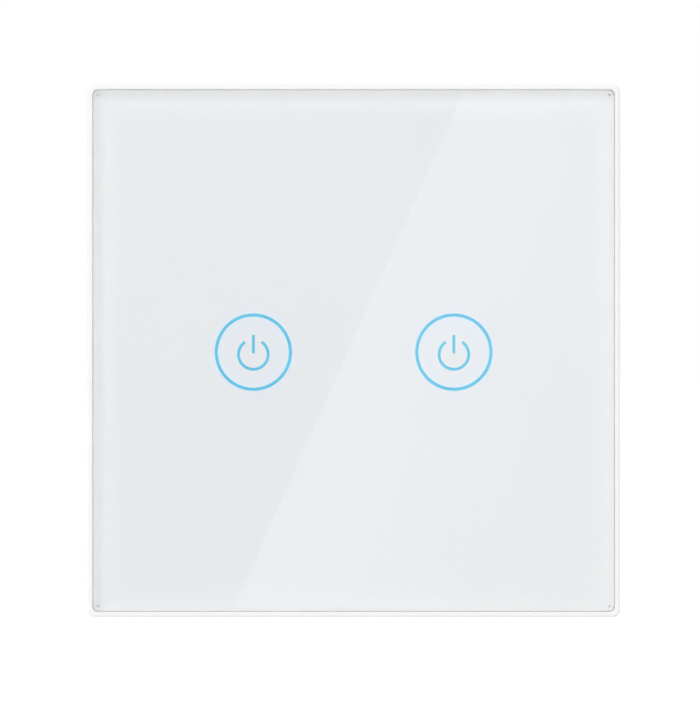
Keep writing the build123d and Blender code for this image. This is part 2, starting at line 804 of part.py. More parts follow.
# Rear housing: shell with cut corners, screw bosses, vents, wire entries and screwdriver holes
with BuildPart() as rear_housing:
    with BuildSketch(facing(housing_front)):
        cut_corner_outline(housing_width, housing_height, housing_chamfer, housing_corner_round)
    extrude(amount=housing_back - housing_front)
    chamfer(rear_housing.faces().sort_by(Axis.Y)[-1].edges(), length=housing_edge_bevel)
    with BuildSketch(facing(housing_front)):
        cut_corner_outline(
            housing_inner_width, housing_inner_height, housing_inner_chamfer,
            housing_corner_round - housing_wall / 2,
        )
    extrude(amount=housing_inner_back - housing_front, mode=Mode.SUBTRACT)
    boss_front = -(post_length + housing_boss_gap)
    with BuildSketch(facing(housing_inner_back)):
        with Locations(*post_places):
            Circle(housing_boss_diameter / 2)
    extrude(amount=boss_front - housing_inner_back)
    # Ribs that press the power board against the rests of the base plate
    with BuildSketch(facing(housing_inner_back)):
        with Locations(*board_rest_places):
            Rectangle(board_rest_width, board_rest_length)
    extrude(amount=power_board_back - component_clearance - housing_inner_back)
    with BuildSketch(facing(housing_back)):
        with Locations(*post_places):
            Circle(housing_screw_passage / 2)
        with Locations(*[(offset, terminal_screw_level) for offset in terminal_offsets]):
            Circle(screwdriver_hole_diameter / 2)
        for column in (-1, 1):
            with Locations((column * vent_column_spacing / 2, vent_rise)):
                with GridLocations(0, vent_pitch, 1, vents_in_a_row):
                    Rectangle(vent_length, vent_width)
    extrude(amount=boss_front - housing_back, mode=Mode.SUBTRACT)
    with BuildSketch(facing(housing_back)):
        with Locations(*post_places):
            Circle(housing_screw_sink_diameter / 2)
    extrude(amount=housing_screw_sink, mode=Mode.SUBTRACT)
    with BuildSketch(facing(housing_back)):
        with Locations((0, terminal_screw_level)):
            RectangleRounded(terminal_row_width, terminal_panel_height, terminal_panel_corner)
    extrude(amount=terminal_panel_sink, mode=Mode.SUBTRACT)
    # Wire entries in the lower wall, each with a funnel
    wire_centre = power_board_back - wire_low - wire_space / 2
    window_height = wire_space + 2 * wire_window_gap
    for offset in terminal_offsets:
        with BuildSketch(Plane.XY.offset(-housing_height / 2)) as mouth:
            with Locations((offset, -wire_centre)):
                Rectangle(wire_window_width + wire_funnel, window_height + wire_funnel)
        with BuildSketch(Plane.XY.offset(-housing_height / 2 + wire_funnel)) as throat:
            with Locations((offset, -wire_centre)):
                Rectangle(wire_window_width, window_height)
        loft(sections=[mouth.sketch.faces()[0], throat.sketch.faces()[0]], ruled=True, mode=Mode.SUBTRACT)
    with BuildSketch(Plane.XY.offset(-housing_height / 2)):
        with Locations(*[(offset, -wire_centre) for offset in terminal_offsets]):
            Rectangle(wire_window_width, window_height)
    extrude(amount=housing_wall, mode=Mode.SUBTRACT)
    # Vents in the upper wall
    with BuildSketch(Plane.XY.offset(housing_height / 2)):
        with Locations((0, -(power_board_back + housing_back) / 2)):
            with GridLocations(vent_pitch, 0, vents_in_a_row, 1):
                Rectangle(vent_width, top_vent_depth)
    extrude(amount=-housing_wall, mode=Mode.SUBTRACT)
write(rear_housing, "rear_housing")

# Screws that hold the housing to the posts of the base plate
with BuildPart() as housing_screws:
    with BuildSketch(facing(housing_screw_seat)):
        with Locations(*post_places):
            Circle(housing_screw_head_diameter / 2)
    extrude(amount=-housing_screw_head_height)
    chamfer(housing_screws.faces().group_by(Axis.Y)[-1].edges(), length=housing_screw_head_bevel)
    with BuildSketch(facing(housing_screw_seat)):
        with Locations(*post_places):
            Circle(housing_screw_diameter / 2)
    extrude(amount=housing_screw_length)
    with BuildSketch(facing(housing_screw_seat - housing_screw_head_height)):
        draw_cross_slots(post_places, housing_screw_head_diameter)
    extrude(amount=cross_recess_depth, mode=Mode.SUBTRACT)
write(housing_screws, "housing_screws")

# Power board
power_board_width = housing_inner_width - 2 * power_board_gap
power_board_height = housing_inner_height - 2 * power_board_gap
power_board_chamfer = housing_inner_chamfer - power_board_gap * (2 - sqrt(2))
post_notch_reach = housing_chamfer / 2
contact_leg_z = cavity_bottom + terminal_cavity_length - contact_leg_inset - contact_bar_thickness / 2
relay_inner_length = relay_length - 2 * relay_wall
leg_z = relay_level + relay_inner_length / 2 - yoke_end_gap - yoke_thickness / 2
coil_z = leg_z - yoke_thickness / 2 - coil_yoke_gap - bobbin_width / 2
blade_z = relay_level - relay_inner_length / 2 + relay_base_gap + contact_blade_thickness
relay_pin_places = [
    (side * relay_x + pin_side_x * relay_coil_pin_spread / 2, relay_level + relay_pin_spread)
    for side in (-1, 1) for pin_side_x in (-1, 1)
] + [(side * relay_x, relay_level - relay_pin_spread) for side in (-1, 1)]
with BuildPart() as power_board:
    with BuildSketch(facing(power_board_back)) as power_board_outline:
        Rectangle(power_board_width, power_board_height)
        chamfer(power_board_outline.vertices(), length=power_board_chamfer)
        for side in (-1, 1):
            for level in (-1, 1):
                SlotCenterPoint(
                    (side * (post_x + post_notch_reach / 2), level * (post_z + post_notch_reach / 2)),
                    (side * (post_x + post_notch_reach), level * (post_z + post_notch_reach)),
                    post_diameter + 2 * power_board_post_gap,
                    mode=Mode.SUBTRACT,
                )
        with Locations(*[(offset, contact_leg_z) for offset in terminal_offsets]):
            Rectangle(
                contact_bar_width + 2 * solder_pin_gap, contact_bar_thickness + 2 * solder_pin_gap,
                mode=Mode.SUBTRACT,
            )
        with Locations(*pin_places):
            Rectangle(pin_socket_side, pin_socket_side, mode=Mode.SUBTRACT)
        relay_pin_hole = relay_pin_side + 2 * solder_pin_gap
        with Locations(*relay_pin_places):
            Rectangle(relay_pin_hole, relay_pin_hole, mode=Mode.SUBTRACT)
    extrude(amount=power_board_thickness)
write(power_board, "power_board")

# Terminal block: a row of cavities open to the board, each with a wire window and a seat for its screw
with BuildPart() as terminal_block:
    with BuildSketch(facing(power_board_back)):
        with Locations((0, (terminal_bottom + terminal_top) / 2)):
            Rectangle(terminal_row_width, terminal_length)
    extrude(amount=-terminal_height)
    with BuildSketch(facing(power_board_back)):
        cavity_level = cavity_bottom + terminal_cavity_length / 2
        with Locations(*[(offset, cavity_level) for offset in terminal_offsets]):
            Rectangle(terminal_cavity_width, terminal_cavity_length)
    extrude(amount=-cavity_height, mode=Mode.SUBTRACT)
    with BuildSketch(facing(power_board_back - cavity_height)):
        with Locations(*[(offset, terminal_screw_level) for offset in terminal_offsets]):
            Circle(terminal_screw_diameter / 2 + terminal_screw_passage_gap)
    extrude(amount=-terminal_shoulder, mode=Mode.SUBTRACT)
    with BuildSketch(facing(power_board_back - screw_seat)):
        with Locations(*[(offset, terminal_screw_level) for offset in terminal_offsets]):
            Circle(terminal_screw_head_diameter / 2 + terminal_screw_sink_gap)
    extrude(amount=-(terminal_height - screw_seat), mode=Mode.SUBTRACT)
    with BuildSketch(Plane.XY.offset(terminal_bottom)):
        with Locations(*[(offset, -wire_centre) for offset in terminal_offsets]):
            Rectangle(wire_window_width, wire_space)
    extrude(amount=terminal_front_wall, mode=Mode.SUBTRACT)
write(terminal_block, "terminal_block")

# Contact bars that the wires are pressed against, with their solder legs
with BuildPart() as terminal_contacts:
    bar_length = contact_leg_z + contact_bar_thickness / 2 - cage_bottom
    with BuildSketch(facing(power_board_back - bar_low)):
        with Locations(*[(offset, cage_bottom + bar_length / 2) for offset in terminal_offsets]):
            Rectangle(contact_bar_width, bar_length)
    extrude(amount=-contact_bar_thickness)
    with BuildSketch(facing(power_board_back - bar_high)):
        with Locations(*[(offset, contact_leg_z) for offset in terminal_offsets]):
            Rectangle(contact_bar_width, contact_bar_thickness)
    extrude(amount=bar_high + power_board_thickness + solder_tail)
write(terminal_contacts, "terminal_contacts")

# Clamp cages and their captive screws, one pair for each terminal
for number, offset in enumerate(terminal_offsets, start=1):
    with BuildPart() as clamp_cage:
        with BuildSketch(facing(power_board_back - cage_board_gap)):
            with Locations((offset, terminal_screw_level)):
                Rectangle(cage_width, cage_length)
        extrude(amount=-cage_height)
        with BuildSketch(facing(power_board_back - wire_low)):
            with Locations((offset, terminal_screw_level)):
                Rectangle(cage_width - 2 * cage_wall, cage_length + 2 * overrun)
        extrude(amount=-cage_window_height, mode=Mode.SUBTRACT)
        with BuildSketch(facing(power_board_back - cage_board_gap - cage_height)):
            with Locations((offset, terminal_screw_level)):
                Circle(terminal_screw_diameter / 2 + terminal_screw_thread_gap)
        extrude(amount=cage_roof, mode=Mode.SUBTRACT)
    write(clamp_cage, f"clamp_cage_{number}")

    with BuildPart() as terminal_screw:
        head_top = power_board_back - screw_head_low - terminal_screw_head_height
        with BuildSketch(facing(power_board_back - screw_head_low)):
            with Locations((offset, terminal_screw_level)):
                Circle(terminal_screw_head_diameter / 2)
        extrude(amount=-terminal_screw_head_height)
        with BuildSketch(facing(power_board_back - screw_head_low)):
            with Locations((offset, terminal_screw_level)):
                Circle(terminal_screw_diameter / 2)
        extrude(amount=screw_head_low - bar_high - contact_bar_gap)
        with BuildSketch(facing(head_top)):
            draw_cross_slots([(offset, terminal_screw_level)], terminal_screw_head_diameter)
        extrude(amount=cross_recess_depth, mode=Mode.SUBTRACT)
    write(terminal_screw, f"terminal_screw_{number}")

# Relays, the same on both sides; depths are measured from the back of the power board
relay_floor = relay_board_gap + relay_base_thickness
bobbin_low = relay_floor + yoke_thickness
bobbin_high = bobbin_low + bobbin_length
pole_high = bobbin_high + pole_thickness
hinge_height = pole_high + armature_seat_gap
relay_centres = [(x, relay_level) for x in relay_xs]
coil_centres = [(x, coil_z) for x in relay_xs]

with BuildPart() as relay_covers:
    with BuildSketch(facing(power_board_back - relay_board_gap)):
        with Locations(*relay_centres):
            Rectangle(relay_width, relay_length)
    extrude(amount=-(relay_height - relay_board_gap))
    fillet(relay_covers.edges().filter_by(Axis.Y), radius=relay_wall)
    with BuildSketch(facing(power_board_back - relay_board_gap)):
        with Locations(*relay_centres):
            Rectangle(relay_width - 2 * relay_wall, relay_inner_length)
    extrude(amount=-(relay_height - relay_board_gap - relay_wall), mode=Mode.SUBTRACT)
write(relay_covers, "relay_covers")

with BuildPart() as relay_bases:
    with BuildSketch(facing(power_board_back - relay_board_gap)):
        with Locations(*relay_centres):
            Rectangle(
                relay_width - 2 * relay_wall - 2 * relay_base_gap, relay_inner_length - 2 * relay_base_gap
            )
    extrude(amount=-relay_base_thickness)
    with BuildSketch(facing(power_board_back - relay_board_gap)):
        with Locations(*relay_pin_places):
            Rectangle(relay_pin_side, relay_pin_side)
    extrude(amount=relay_board_gap + power_board_thickness + solder_tail)
write(relay_bases, "relay_bases")

with BuildPart() as relay_yokes:
    yoke_reach = leg_z + yoke_thickness / 2 - (coil_z - core_diameter)
    with BuildSketch(facing(power_board_back - relay_floor)):
        with Locations(*[(x, leg_z + yoke_thickness / 2 - yoke_reach / 2) for x in relay_xs]):
            Rectangle(yoke_width, yoke_reach)
    extrude(amount=-yoke_thickness)
    with BuildSketch(facing(power_board_back - relay_floor)):
        with Locations(*[(x, leg_z) for x in relay_xs]):
            Rectangle(yoke_width, yoke_thickness)
    extrude(amount=-(pole_high - relay_floor))
    with BuildSketch(facing(power_board_back - bobbin_low)):
        with Locations(*coil_centres):
            Circle(core_diameter / 2)
    extrude(amount=-(pole_high - bobbin_low))
    with BuildSketch(facing(power_board_back - bobbin_high)):
        with Locations(*coil_centres):
            Circle(pole_diameter / 2)
    extrude(amount=-pole_thickness)
write(relay_yokes, "relay_yokes")

with BuildPart() as relay_bobbins:
    with BuildSketch(facing(power_board_back - bobbin_low)):
        with Locations(*coil_centres):
            Circle(core_diameter / 2 + bobbin_flange)
    extrude(amount=-bobbin_length)
    for flange_low in (bobbin_low, bobbin_high - bobbin_flange):
        with BuildSketch(facing(power_board_back - flange_low)):
            with Locations(*coil_centres):
                Rectangle(bobbin_width, bobbin_width)
        extrude(amount=-bobbin_flange)
    with BuildSketch(facing(power_board_back - bobbin_low)):
        with Locations(*coil_centres):
            Circle(core_diameter / 2 + bobbin_core_gap)
    extrude(amount=-bobbin_length, mode=Mode.SUBTRACT)
write(relay_bobbins, "relay_bobbins")

with BuildPart() as relay_windings:
    with BuildSketch(facing(power_board_back - bobbin_low - bobbin_flange - winding_gap)):
        with Locations(*coil_centres):
            Circle(winding_diameter / 2)
            Circle(core_diameter / 2 + bobbin_flange + winding_gap, mode=Mode.SUBTRACT)
    extrude(amount=-(bobbin_length - 2 * bobbin_flange - 2 * winding_gap))
write(relay_windings, "relay_windings")

# Each armature turns on the top of its yoke's leg, and carries the moving contact
strip_low = armature_thickness
contact_strip_length = leg_z - relay_level + relay_inner_length / 2 - contact_strip_end_gap
contact_reach = contact_strip_length - contact_end_inset
tilt = radians(armature_travel_angle)
for side, side_name in ((-1, "left"), (1, "right")):
    hinge = Vector(side * relay_x, -(power_board_back - hinge_height), leg_z)
    armature_plane = Plane(origin=hinge, x_dir=(1, 0, 0), z_dir=(0, cos(tilt), sin(tilt)))
    with BuildPart() as armature:
        with BuildSketch(armature_plane):
            with Locations((0, armature_length / 2 - yoke_thickness / 2)):
                Rectangle(armature_width, armature_length)
        extrude(amount=armature_thickness)
    write(armature, f"relay_armature_{side_name}")

    with BuildPart() as moving_contact:
        with BuildSketch(armature_plane.offset(strip_low)):
            with Locations((0, contact_strip_length / 2)):
                Rectangle(contact_strip_width, contact_strip_length)
        extrude(amount=contact_strip_thickness)
        with BuildSketch(armature_plane.offset(strip_low)):
            with Locations((0, contact_reach)):
                Circle(contact_diameter / 2)
        extrude(amount=-contact_thickness)
    write(moving_contact, f"relay_moving_contact_{side_name}")

# Fixed contacts on their blades
contact_top = hinge_height + strip_low - contact_thickness - contact_closed_gap
fixed_contact_z = leg_z - contact_reach
with BuildPart() as relay_fixed_contacts:
    shelf_top = contact_top - contact_thickness
    shelf_low = shelf_top - contact_blade_thickness
    shelf_end = fixed_contact_z + contact_diameter / 2
    shelf_start = blade_z - contact_blade_thickness / 2
    with BuildSketch(facing(power_board_back - relay_floor)):
        with Locations(*[(x, blade_z) for x in relay_xs]):
            Rectangle(contact_blade_width, contact_blade_thickness)
    extrude(amount=-(shelf_top - relay_floor))
    with BuildSketch(facing(power_board_back - shelf_low)):
        with Locations(*[(x, (shelf_start + shelf_end) / 2) for x in relay_xs]):
            Rectangle(contact_blade_width, shelf_end - shelf_start)
    extrude(amount=-contact_blade_thickness)
    with BuildSketch(facing(power_board_back - shelf_top)):
        with Locations(*[(x, fixed_contact_z) for x in relay_xs]):
            Circle(contact_diameter / 2)
    extrude(amount=-contact_thickness)
write(relay_fixed_contacts, "relay_fixed_contacts")

# Transformer of the power supply
with BuildPart() as transformer_core:
    core_low = power_board_back - transformer_board_gap
    with BuildSketch(facing(core_low)):
        with Locations((0, transformer_level)):
            Rectangle(transformer_width, transformer_core_wall * 2)
    extrude(amount=-transformer_height)
    with BuildSketch(facing(core_low - transformer_core_wall)):
        with Locations((0, transformer_level)):
            Rectangle(transformer_width - 2 * transformer_core_wall, transformer_core_wall * 2)
    extrude(amount=-(transformer_height - 2 * transformer_core_wall), mode=Mode.SUBTRACT)
write(transformer_core, "transformer_core")

with BuildPart() as transformer_winding:
    winding_low = core_low - transformer_core_wall - transformer_winding_gap
    winding_width = transformer_width - 2 * transformer_core_wall - 2 * transformer_winding_gap
    with BuildSketch(facing(winding_low)):
        with Locations((0, transformer_level)):
            RectangleRounded(winding_width, transformer_length, transformer_core_wall / 2)
    extrude(amount=-(transformer_height - 2 * transformer_core_wall - 2 * transformer_winding_gap))
    with BuildSketch(facing(winding_low)):
        with Locations(*[
            (side * winding_width / 4, transformer_level + level * transformer_pin_spread / 2)
            for side in (-1, 1) for level in (-1, 1)
        ]):
            Rectangle(lead_diameter, lead_diameter)
    extrude(amount=power_board_back - winding_low)
write(transformer_winding, "transformer_winding")

# Electrolytic capacitors in the left bay
bulk_capacitor_x = relays_edge + capacitor_gap + bulk_capacitor_diameter / 2
with BuildPart() as bulk_capacitor:
    with BuildSketch(facing(power_board_back - part_stand)):
        with Locations((-bulk_capacitor_x, relay_level + bulk_capacitor_diameter / 2)):
            Circle(bulk_capacitor_diameter / 2)
    extrude(amount=-(bulk_capacitor_height - part_stand))
    chamfer(bulk_capacitor.edges().filter_by(GeomType.CIRCLE), length=capacitor_bevel)
write(bulk_capacitor, "bulk_capacitor")

with BuildPart() as small_capacitor:
    small_capacitor_level = relay_level - capacitor_gap - small_capacitor_diameter / 2
    with BuildSketch(facing(power_board_back - part_stand)):
        with Locations((-bulk_capacitor_x, small_capacitor_level)):
            Circle(small_capacitor_diameter / 2)
    extrude(amount=-(small_capacitor_height - part_stand))
    chamfer(small_capacitor.edges().filter_by(GeomType.CIRCLE), length=capacitor_bevel)
write(small_capacitor, "small_capacitor")

# Film capacitor in the right bay
film_capacitor_x = relays_edge + capacitor_gap + film_capacitor_width / 2
with BuildPart() as film_capacitor:
    with BuildSketch(facing(power_board_back - part_stand)):
        with Locations((film_capacitor_x, relay_level)):
            Rectangle(film_capacitor_width, film_capacitor_length)
    extrude(amount=-(film_capacitor_height - part_stand))
    chamfer(film_capacitor.faces().sort_by(Axis.Y)[-1].edges(), length=capacitor_bevel)
write(film_capacitor, "film_capacitor")

# Varistor disc and fuse beside the transformer
with BuildPart() as varistor:
    varistor_x = transformer_width / 2 + varistor_diameter / 2 + transformer_core_wall / 2
    varistor_level = relay_top + transformer_gap + varistor_thickness / 2
    varistor_centre = -(power_board_back - varistor_stand - varistor_diameter / 2)
    with BuildSketch(Plane.XY.offset(varistor_level - varistor_thickness / 2)):
        with Locations((varistor_x, varistor_centre)):
            Circle(varistor_diameter / 2)
    extrude(amount=varistor_thickness)
    chamfer(varistor.edges().filter_by(GeomType.CIRCLE), length=varistor_edge)
    with BuildSketch(facing(power_board_back)):
        with Locations(*[(varistor_x + side * varistor_diameter / 4, varistor_level) for side in (-1, 1)]):
            Rectangle(lead_diameter, lead_diameter)
    extrude(amount=-(varistor_stand + varistor_diameter / 2))
write(varistor, "varistor")

with BuildPart() as fuse:
    with BuildSketch(facing(power_board_back - part_stand)):
        with Locations((-varistor_x, varistor_level)):
            Circle(fuse_diameter / 2)
    extrude(amount=-fuse_length)
    chamfer(fuse.edges().filter_by(GeomType.CIRCLE), length=fuse_bevel)
write(fuse, "fuse")
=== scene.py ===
"""Touch light switch with two lit touch points: its finishes, its fine pieces and the studio round it.

The switch stands upright in its frame: the wall is the plane Y = 0, the glass faces -Y, X runs to the right
and Z runs up. Shapes are built in millimetres and become metres when a piece is finished. What a piece sits
on is read from the frame, and each class holds the sizes that are its own.
"""

import json
import logging
import math
from collections.abc import Iterable, Mapping, Sequence
from dataclasses import dataclass
from enum import Enum
from typing import Any, ClassVar

import bmesh
import bpy
from mathutils import Matrix, Vector

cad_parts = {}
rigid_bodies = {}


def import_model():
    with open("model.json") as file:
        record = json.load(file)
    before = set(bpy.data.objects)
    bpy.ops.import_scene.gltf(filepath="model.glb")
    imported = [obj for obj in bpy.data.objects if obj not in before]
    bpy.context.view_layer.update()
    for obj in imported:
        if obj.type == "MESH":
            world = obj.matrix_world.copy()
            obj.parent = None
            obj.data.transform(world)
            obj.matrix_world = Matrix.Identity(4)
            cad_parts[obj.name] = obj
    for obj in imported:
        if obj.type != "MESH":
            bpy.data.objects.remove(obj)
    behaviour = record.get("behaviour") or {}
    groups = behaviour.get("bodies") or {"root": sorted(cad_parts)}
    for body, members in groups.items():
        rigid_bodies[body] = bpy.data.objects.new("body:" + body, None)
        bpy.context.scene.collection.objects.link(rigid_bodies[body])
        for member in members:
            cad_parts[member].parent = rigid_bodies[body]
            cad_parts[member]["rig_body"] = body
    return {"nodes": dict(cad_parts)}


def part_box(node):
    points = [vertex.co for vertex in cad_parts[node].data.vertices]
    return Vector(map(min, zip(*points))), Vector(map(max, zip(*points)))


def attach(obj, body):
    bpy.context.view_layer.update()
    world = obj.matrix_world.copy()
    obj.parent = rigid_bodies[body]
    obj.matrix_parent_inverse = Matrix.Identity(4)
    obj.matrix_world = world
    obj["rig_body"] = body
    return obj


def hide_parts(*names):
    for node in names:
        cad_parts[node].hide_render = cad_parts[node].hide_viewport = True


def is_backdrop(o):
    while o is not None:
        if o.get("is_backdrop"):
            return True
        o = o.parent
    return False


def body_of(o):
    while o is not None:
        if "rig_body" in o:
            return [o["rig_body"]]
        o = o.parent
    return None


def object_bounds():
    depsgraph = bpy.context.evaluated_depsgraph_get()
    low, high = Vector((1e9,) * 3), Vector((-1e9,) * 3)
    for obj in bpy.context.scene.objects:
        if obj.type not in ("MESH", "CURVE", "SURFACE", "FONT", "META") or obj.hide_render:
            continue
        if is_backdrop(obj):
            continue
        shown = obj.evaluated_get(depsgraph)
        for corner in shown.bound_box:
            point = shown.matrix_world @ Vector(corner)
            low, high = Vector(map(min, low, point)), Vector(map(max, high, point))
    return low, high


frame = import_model()

LOG = logging.getLogger("touch_light_switch")
MM = 0.001
TOUCHING = 1e-4
LEVEL = 1e-5
BOTH = (-1, 1)
Spot = tuple[float, float]
Point = tuple[float, float, float]
Colour = tuple[float, float, float]
Finishes = dict[str, bpy.types.Material]


class Side(Enum):
    """The two sides of a board, by the way that they face along Y."""

    FRONT = -1
    BACK = 1


@dataclass(frozen=True)
class Space:
    """A box of space in millimetres, such as the one that a node of the frame takes up."""

    low: Vector
    high: Vector

    @classmethod
    def of(cls, node: str) -> "Space":
        """Returns the space that a node takes up at rest."""
        low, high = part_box(node)
        return cls(low / MM, high / MM)

    @property
    def centre(self) -> Vector:
        """The middle of the space."""
        return (self.low + self.high) / 2

    @property
    def size(self) -> Vector:
        """The length of the space along each axis."""
        return self.high - self.low


def at(x: float, y: float, z: float, turn: Matrix = Matrix.Identity(4)) -> Matrix:
    """Returns the matrix that turns a part and then brings it to a place in millimetres."""
    return Matrix.Translation((x, y, z)) @ turn


def seat(x: float, y: float, z: float, side: Side = Side.FRONT, turn: float = 0.0) -> Matrix:
    """Returns the place of a part that was built lying on a level board, with its height along Z.

    Args:
        x: Its place along X in millimetres.
        y: Where the board's face is along Y.
        z: Its place along Z.
        side: The side of the board that it sits on.
        turn: How far it is turned on the board, in degrees.

    Returns:
        The matrix that stands the part on that side of the board.
    """
    upright = Matrix.Rotation(-side.value * math.pi / 2, 4, "X")
    return at(x, y, z, upright @ Matrix.Rotation(math.radians(turn), 4, "Z"))


def edges_rising(part: bmesh.types.BMesh, least: float, most: float = math.inf, axis: int = 2
                 ) -> list[bmesh.types.BMEdge]:
    """Picks edges of a part by how far their ends lie apart along an axis.

    Args:
        part: The part.
        least: The least distance.
        most: The greatest distance.
        axis: The number of the axis, from 0 for X.

    Returns:
        The edges.
    """
    return [edge for edge in part.edges
            if least <= abs(edge.verts[0].co[axis] - edge.verts[1].co[axis]) <= most]


def soften(part: bmesh.types.BMesh, edges: Iterable[bmesh.types.BMEdge], width: float, steps: int = 2,
           clamp: bool = True) -> None:
    """Rounds some edges of a part.

    Args:
        part: The part.
        edges: The edges to round.
        width: How far the rounding reaches from each edge, in millimetres.
        steps: The number of faces across the rounding, where one gives a flat chamfer.
        clamp: Whether roundings that would meet are made narrower.
    """
    bmesh.ops.bevel(part, geom=list(edges), offset=width, offset_type="OFFSET", affect="EDGES",
                    segments=steps, profile=0.5, material=-1, clamp_overlap=clamp)


def block(size: Sequence[float], rounding: float = 0.0, steps: int = 2, centre: Point = (0.0, 0.0, 0.0)
          ) -> bmesh.types.BMesh:
    """Makes a box.

    Args:
        size: Its three lengths in millimetres.
        rounding: The width of its edge rounding in millimetres.
        steps: The number of faces across the rounding.
        centre: Where its middle is.

    Returns:
        The box.
    """
    part = bmesh.new()
    bmesh.ops.create_cube(part, size=1.0)
    bmesh.ops.scale(part, vec=Vector(size), verts=part.verts)
    if rounding:
        soften(part, part.edges, rounding, steps)
    bmesh.ops.translate(part, vec=centre, verts=part.verts)
    return part


def drum(radius: float, height: float, sides: int = 32, rounding: float = 0.0, top: float | None = None
         ) -> bmesh.types.BMesh:
    """Makes a cylinder or a cone about the origin, with its height along Z.

    Args:
        radius: Its radius in millimetres, at the low end.
        height: Its height in millimetres.
        sides: The number of its side faces.
        rounding: The width of the rounding at its rims, in millimetres.
        top: Its radius at the high end, or None where it is the same.

    Returns:
        The cylinder.
    """
    part = bmesh.new()
    bmesh.ops.create_cone(part, cap_ends=True, segments=sides, radius1=radius,
                          radius2=radius if top is None else top, depth=height)
    if rounding:
        soften(part, edges_rising(part, 0, height / 2), rounding)
    return part


def turned(outline: Sequence[Spot], sides: int = 48) -> bmesh.types.BMesh:
    """Makes a round part by spinning its outline about Z; an outline that ends away from Z is closed first.

    Args:
        outline: The points of the outline as radius and height, in millimetres.
        sides: The number of steps round the part.

    Returns:
        The round part.
    """
    part = bmesh.new()
    loop = [*outline]
    if outline[-1][0]:
        loop.append(outline[0] if outline[0][0] else (0, outline[-1][1]))
    points = [part.verts.new((radius, 0, height)) for radius, height in loop]
    edges = [part.edges.new(pair) for pair in zip(points, points[1:])]
    bmesh.ops.spin(part, geom=points + edges, cent=(0, 0, 0), axis=(0, 0, 1), angle=math.tau, steps=sides,
                   use_merge=True, use_duplicate=False)
    bmesh.ops.remove_doubles(part, verts=part.verts, dist=TOUCHING)
    bmesh.ops.recalc_face_normals(part, faces=part.faces)
    return part


def softened(node: str, width: float, steps: int = 2, turn: float = 35.0) -> bmesh.types.BMesh:
    """Copies a node's shape, with the narrow rounding that its edges have from the mould or the press.

    Args:
        node: The node.
        width: The width of the rounding in millimetres.
        steps: The number of faces across the rounding.
        turn: The angle in degrees past which an edge is rounded.

    Returns:
        The copy, in millimetres.
    """
    part = bmesh.new()
    part.from_mesh(frame["nodes"][node].data)
    bmesh.ops.scale(part, vec=(1 / MM, 1 / MM, 1 / MM), verts=part.verts)
    bmesh.ops.remove_doubles(part, verts=part.verts, dist=1e-3)
    bmesh.ops.dissolve_limit(part, angle_limit=math.radians(0.5), verts=part.verts, edges=part.edges)
    bmesh.ops.triangulate(part, faces=[face for face in part.faces if len(face.verts) > 4])
    sharp = [edge for edge in part.edges if edge.is_manifold and edge.calc_face_angle(0) > math.radians(turn)]
    soften(part, sharp, width, steps, False)
    return part


def slab(outline: Sequence[Spot], low: float, high: float) -> bmesh.types.BMesh:
    """Makes a flat part that lies in a plane across Y.

    Args:
        outline: The corners of its face as X and Z, in millimetres.
        low: Where its lower side is along Y.
        high: Where its upper side is along Y.

    Returns:
        The flat part.
    """
    part = bmesh.new()
    face = part.faces.new([part.verts.new((x, low, z)) for x, z in outline])
    grown = bmesh.ops.extrude_face_region(part, geom=[face])["geom"]
    moved = [item for item in grown if isinstance(item, bmesh.types.BMVert)]
    bmesh.ops.translate(part, vec=(0, high - low, 0), verts=moved)
    bmesh.ops.recalc_face_normals(part, faces=part.faces)
    return part


def strip_outline(points: Sequence[Spot], width: float) -> list[Spot]:
    """Works out the outline of a strip of even width along a bent line.

    Args:
        points: The points of the line.
        width: The width of the strip.

    Returns:
        The corners of the strip's outline.
    """
    line = [Vector(point) for point in points]
    ways = [(after - before).normalized() for before, after in zip(line, line[1:])]
    left, right = [], []
    for number, point in enumerate(line):
        before = ways[max(number - 1, 0)]
        after = ways[min(number, len(ways) - 1)]
        middle = (before + after).normalized()
        across = Vector((-middle.y, middle.x)) * (width / 2 / max(middle.dot(after), 0.5))
        left.append(tuple(point + across))
        right.append(tuple(point - across))
    return left + right[::-1]


def arc(x: float, z: float, radius: float, start: float, end: float, step: float = 7.5) -> list[Spot]:
    """Returns the points of an arc.

    Args:
        x: Where its centre is along X.
        z: Where its centre is along Z.
        radius: Its radius.
        start: The angle in degrees at which it starts.
        end: The angle at which it ends.
        step: About how many degrees its points are apart.

    Returns:
        The points as X and Z.
    """
    count = max(2, round(abs(end - start) / step) + 1)
    angles = [math.radians(start + (end - start) * number / (count - 1)) for number in range(count)]
    return [(x + radius * math.cos(angle), z + radius * math.sin(angle)) for angle in angles]


def wire(points: Sequence[Point], thickness: float, sides: int = 8) -> bmesh.types.BMesh:
    """Makes a round wire along a smooth line.

    Args:
        points: The points that the line passes, in millimetres.
        thickness: The wire's diameter in millimetres.
        sides: A multiple of four, the number of faces round the wire.

    Returns:
        The wire, closed at its ends.
    """
    curve = bpy.data.curves.new("wire", "CURVE")
    curve.dimensions = "3D"
    curve.bevel_depth = thickness / 2
    curve.bevel_resolution = sides // 4 - 1
    curve.use_fill_caps = True
    spline = curve.splines.new("POLY")
    spline.points.add(len(points) - 1)
    for spot, point in zip(spline.points, points):
        spot.co = (*point, 1.0)
    holder = bpy.data.objects.new("wire", curve)
    mesh = bpy.data.meshes.new_from_object(holder)
    part = bmesh.new()
    part.from_mesh(mesh)
    bmesh.ops.remove_doubles(part, verts=part.verts, dist=TOUCHING)
    bmesh.ops.recalc_face_normals(part, faces=part.faces)
    bpy.data.objects.remove(holder)
    bpy.data.curves.remove(curve)
    bpy.data.meshes.remove(mesh)
    return part


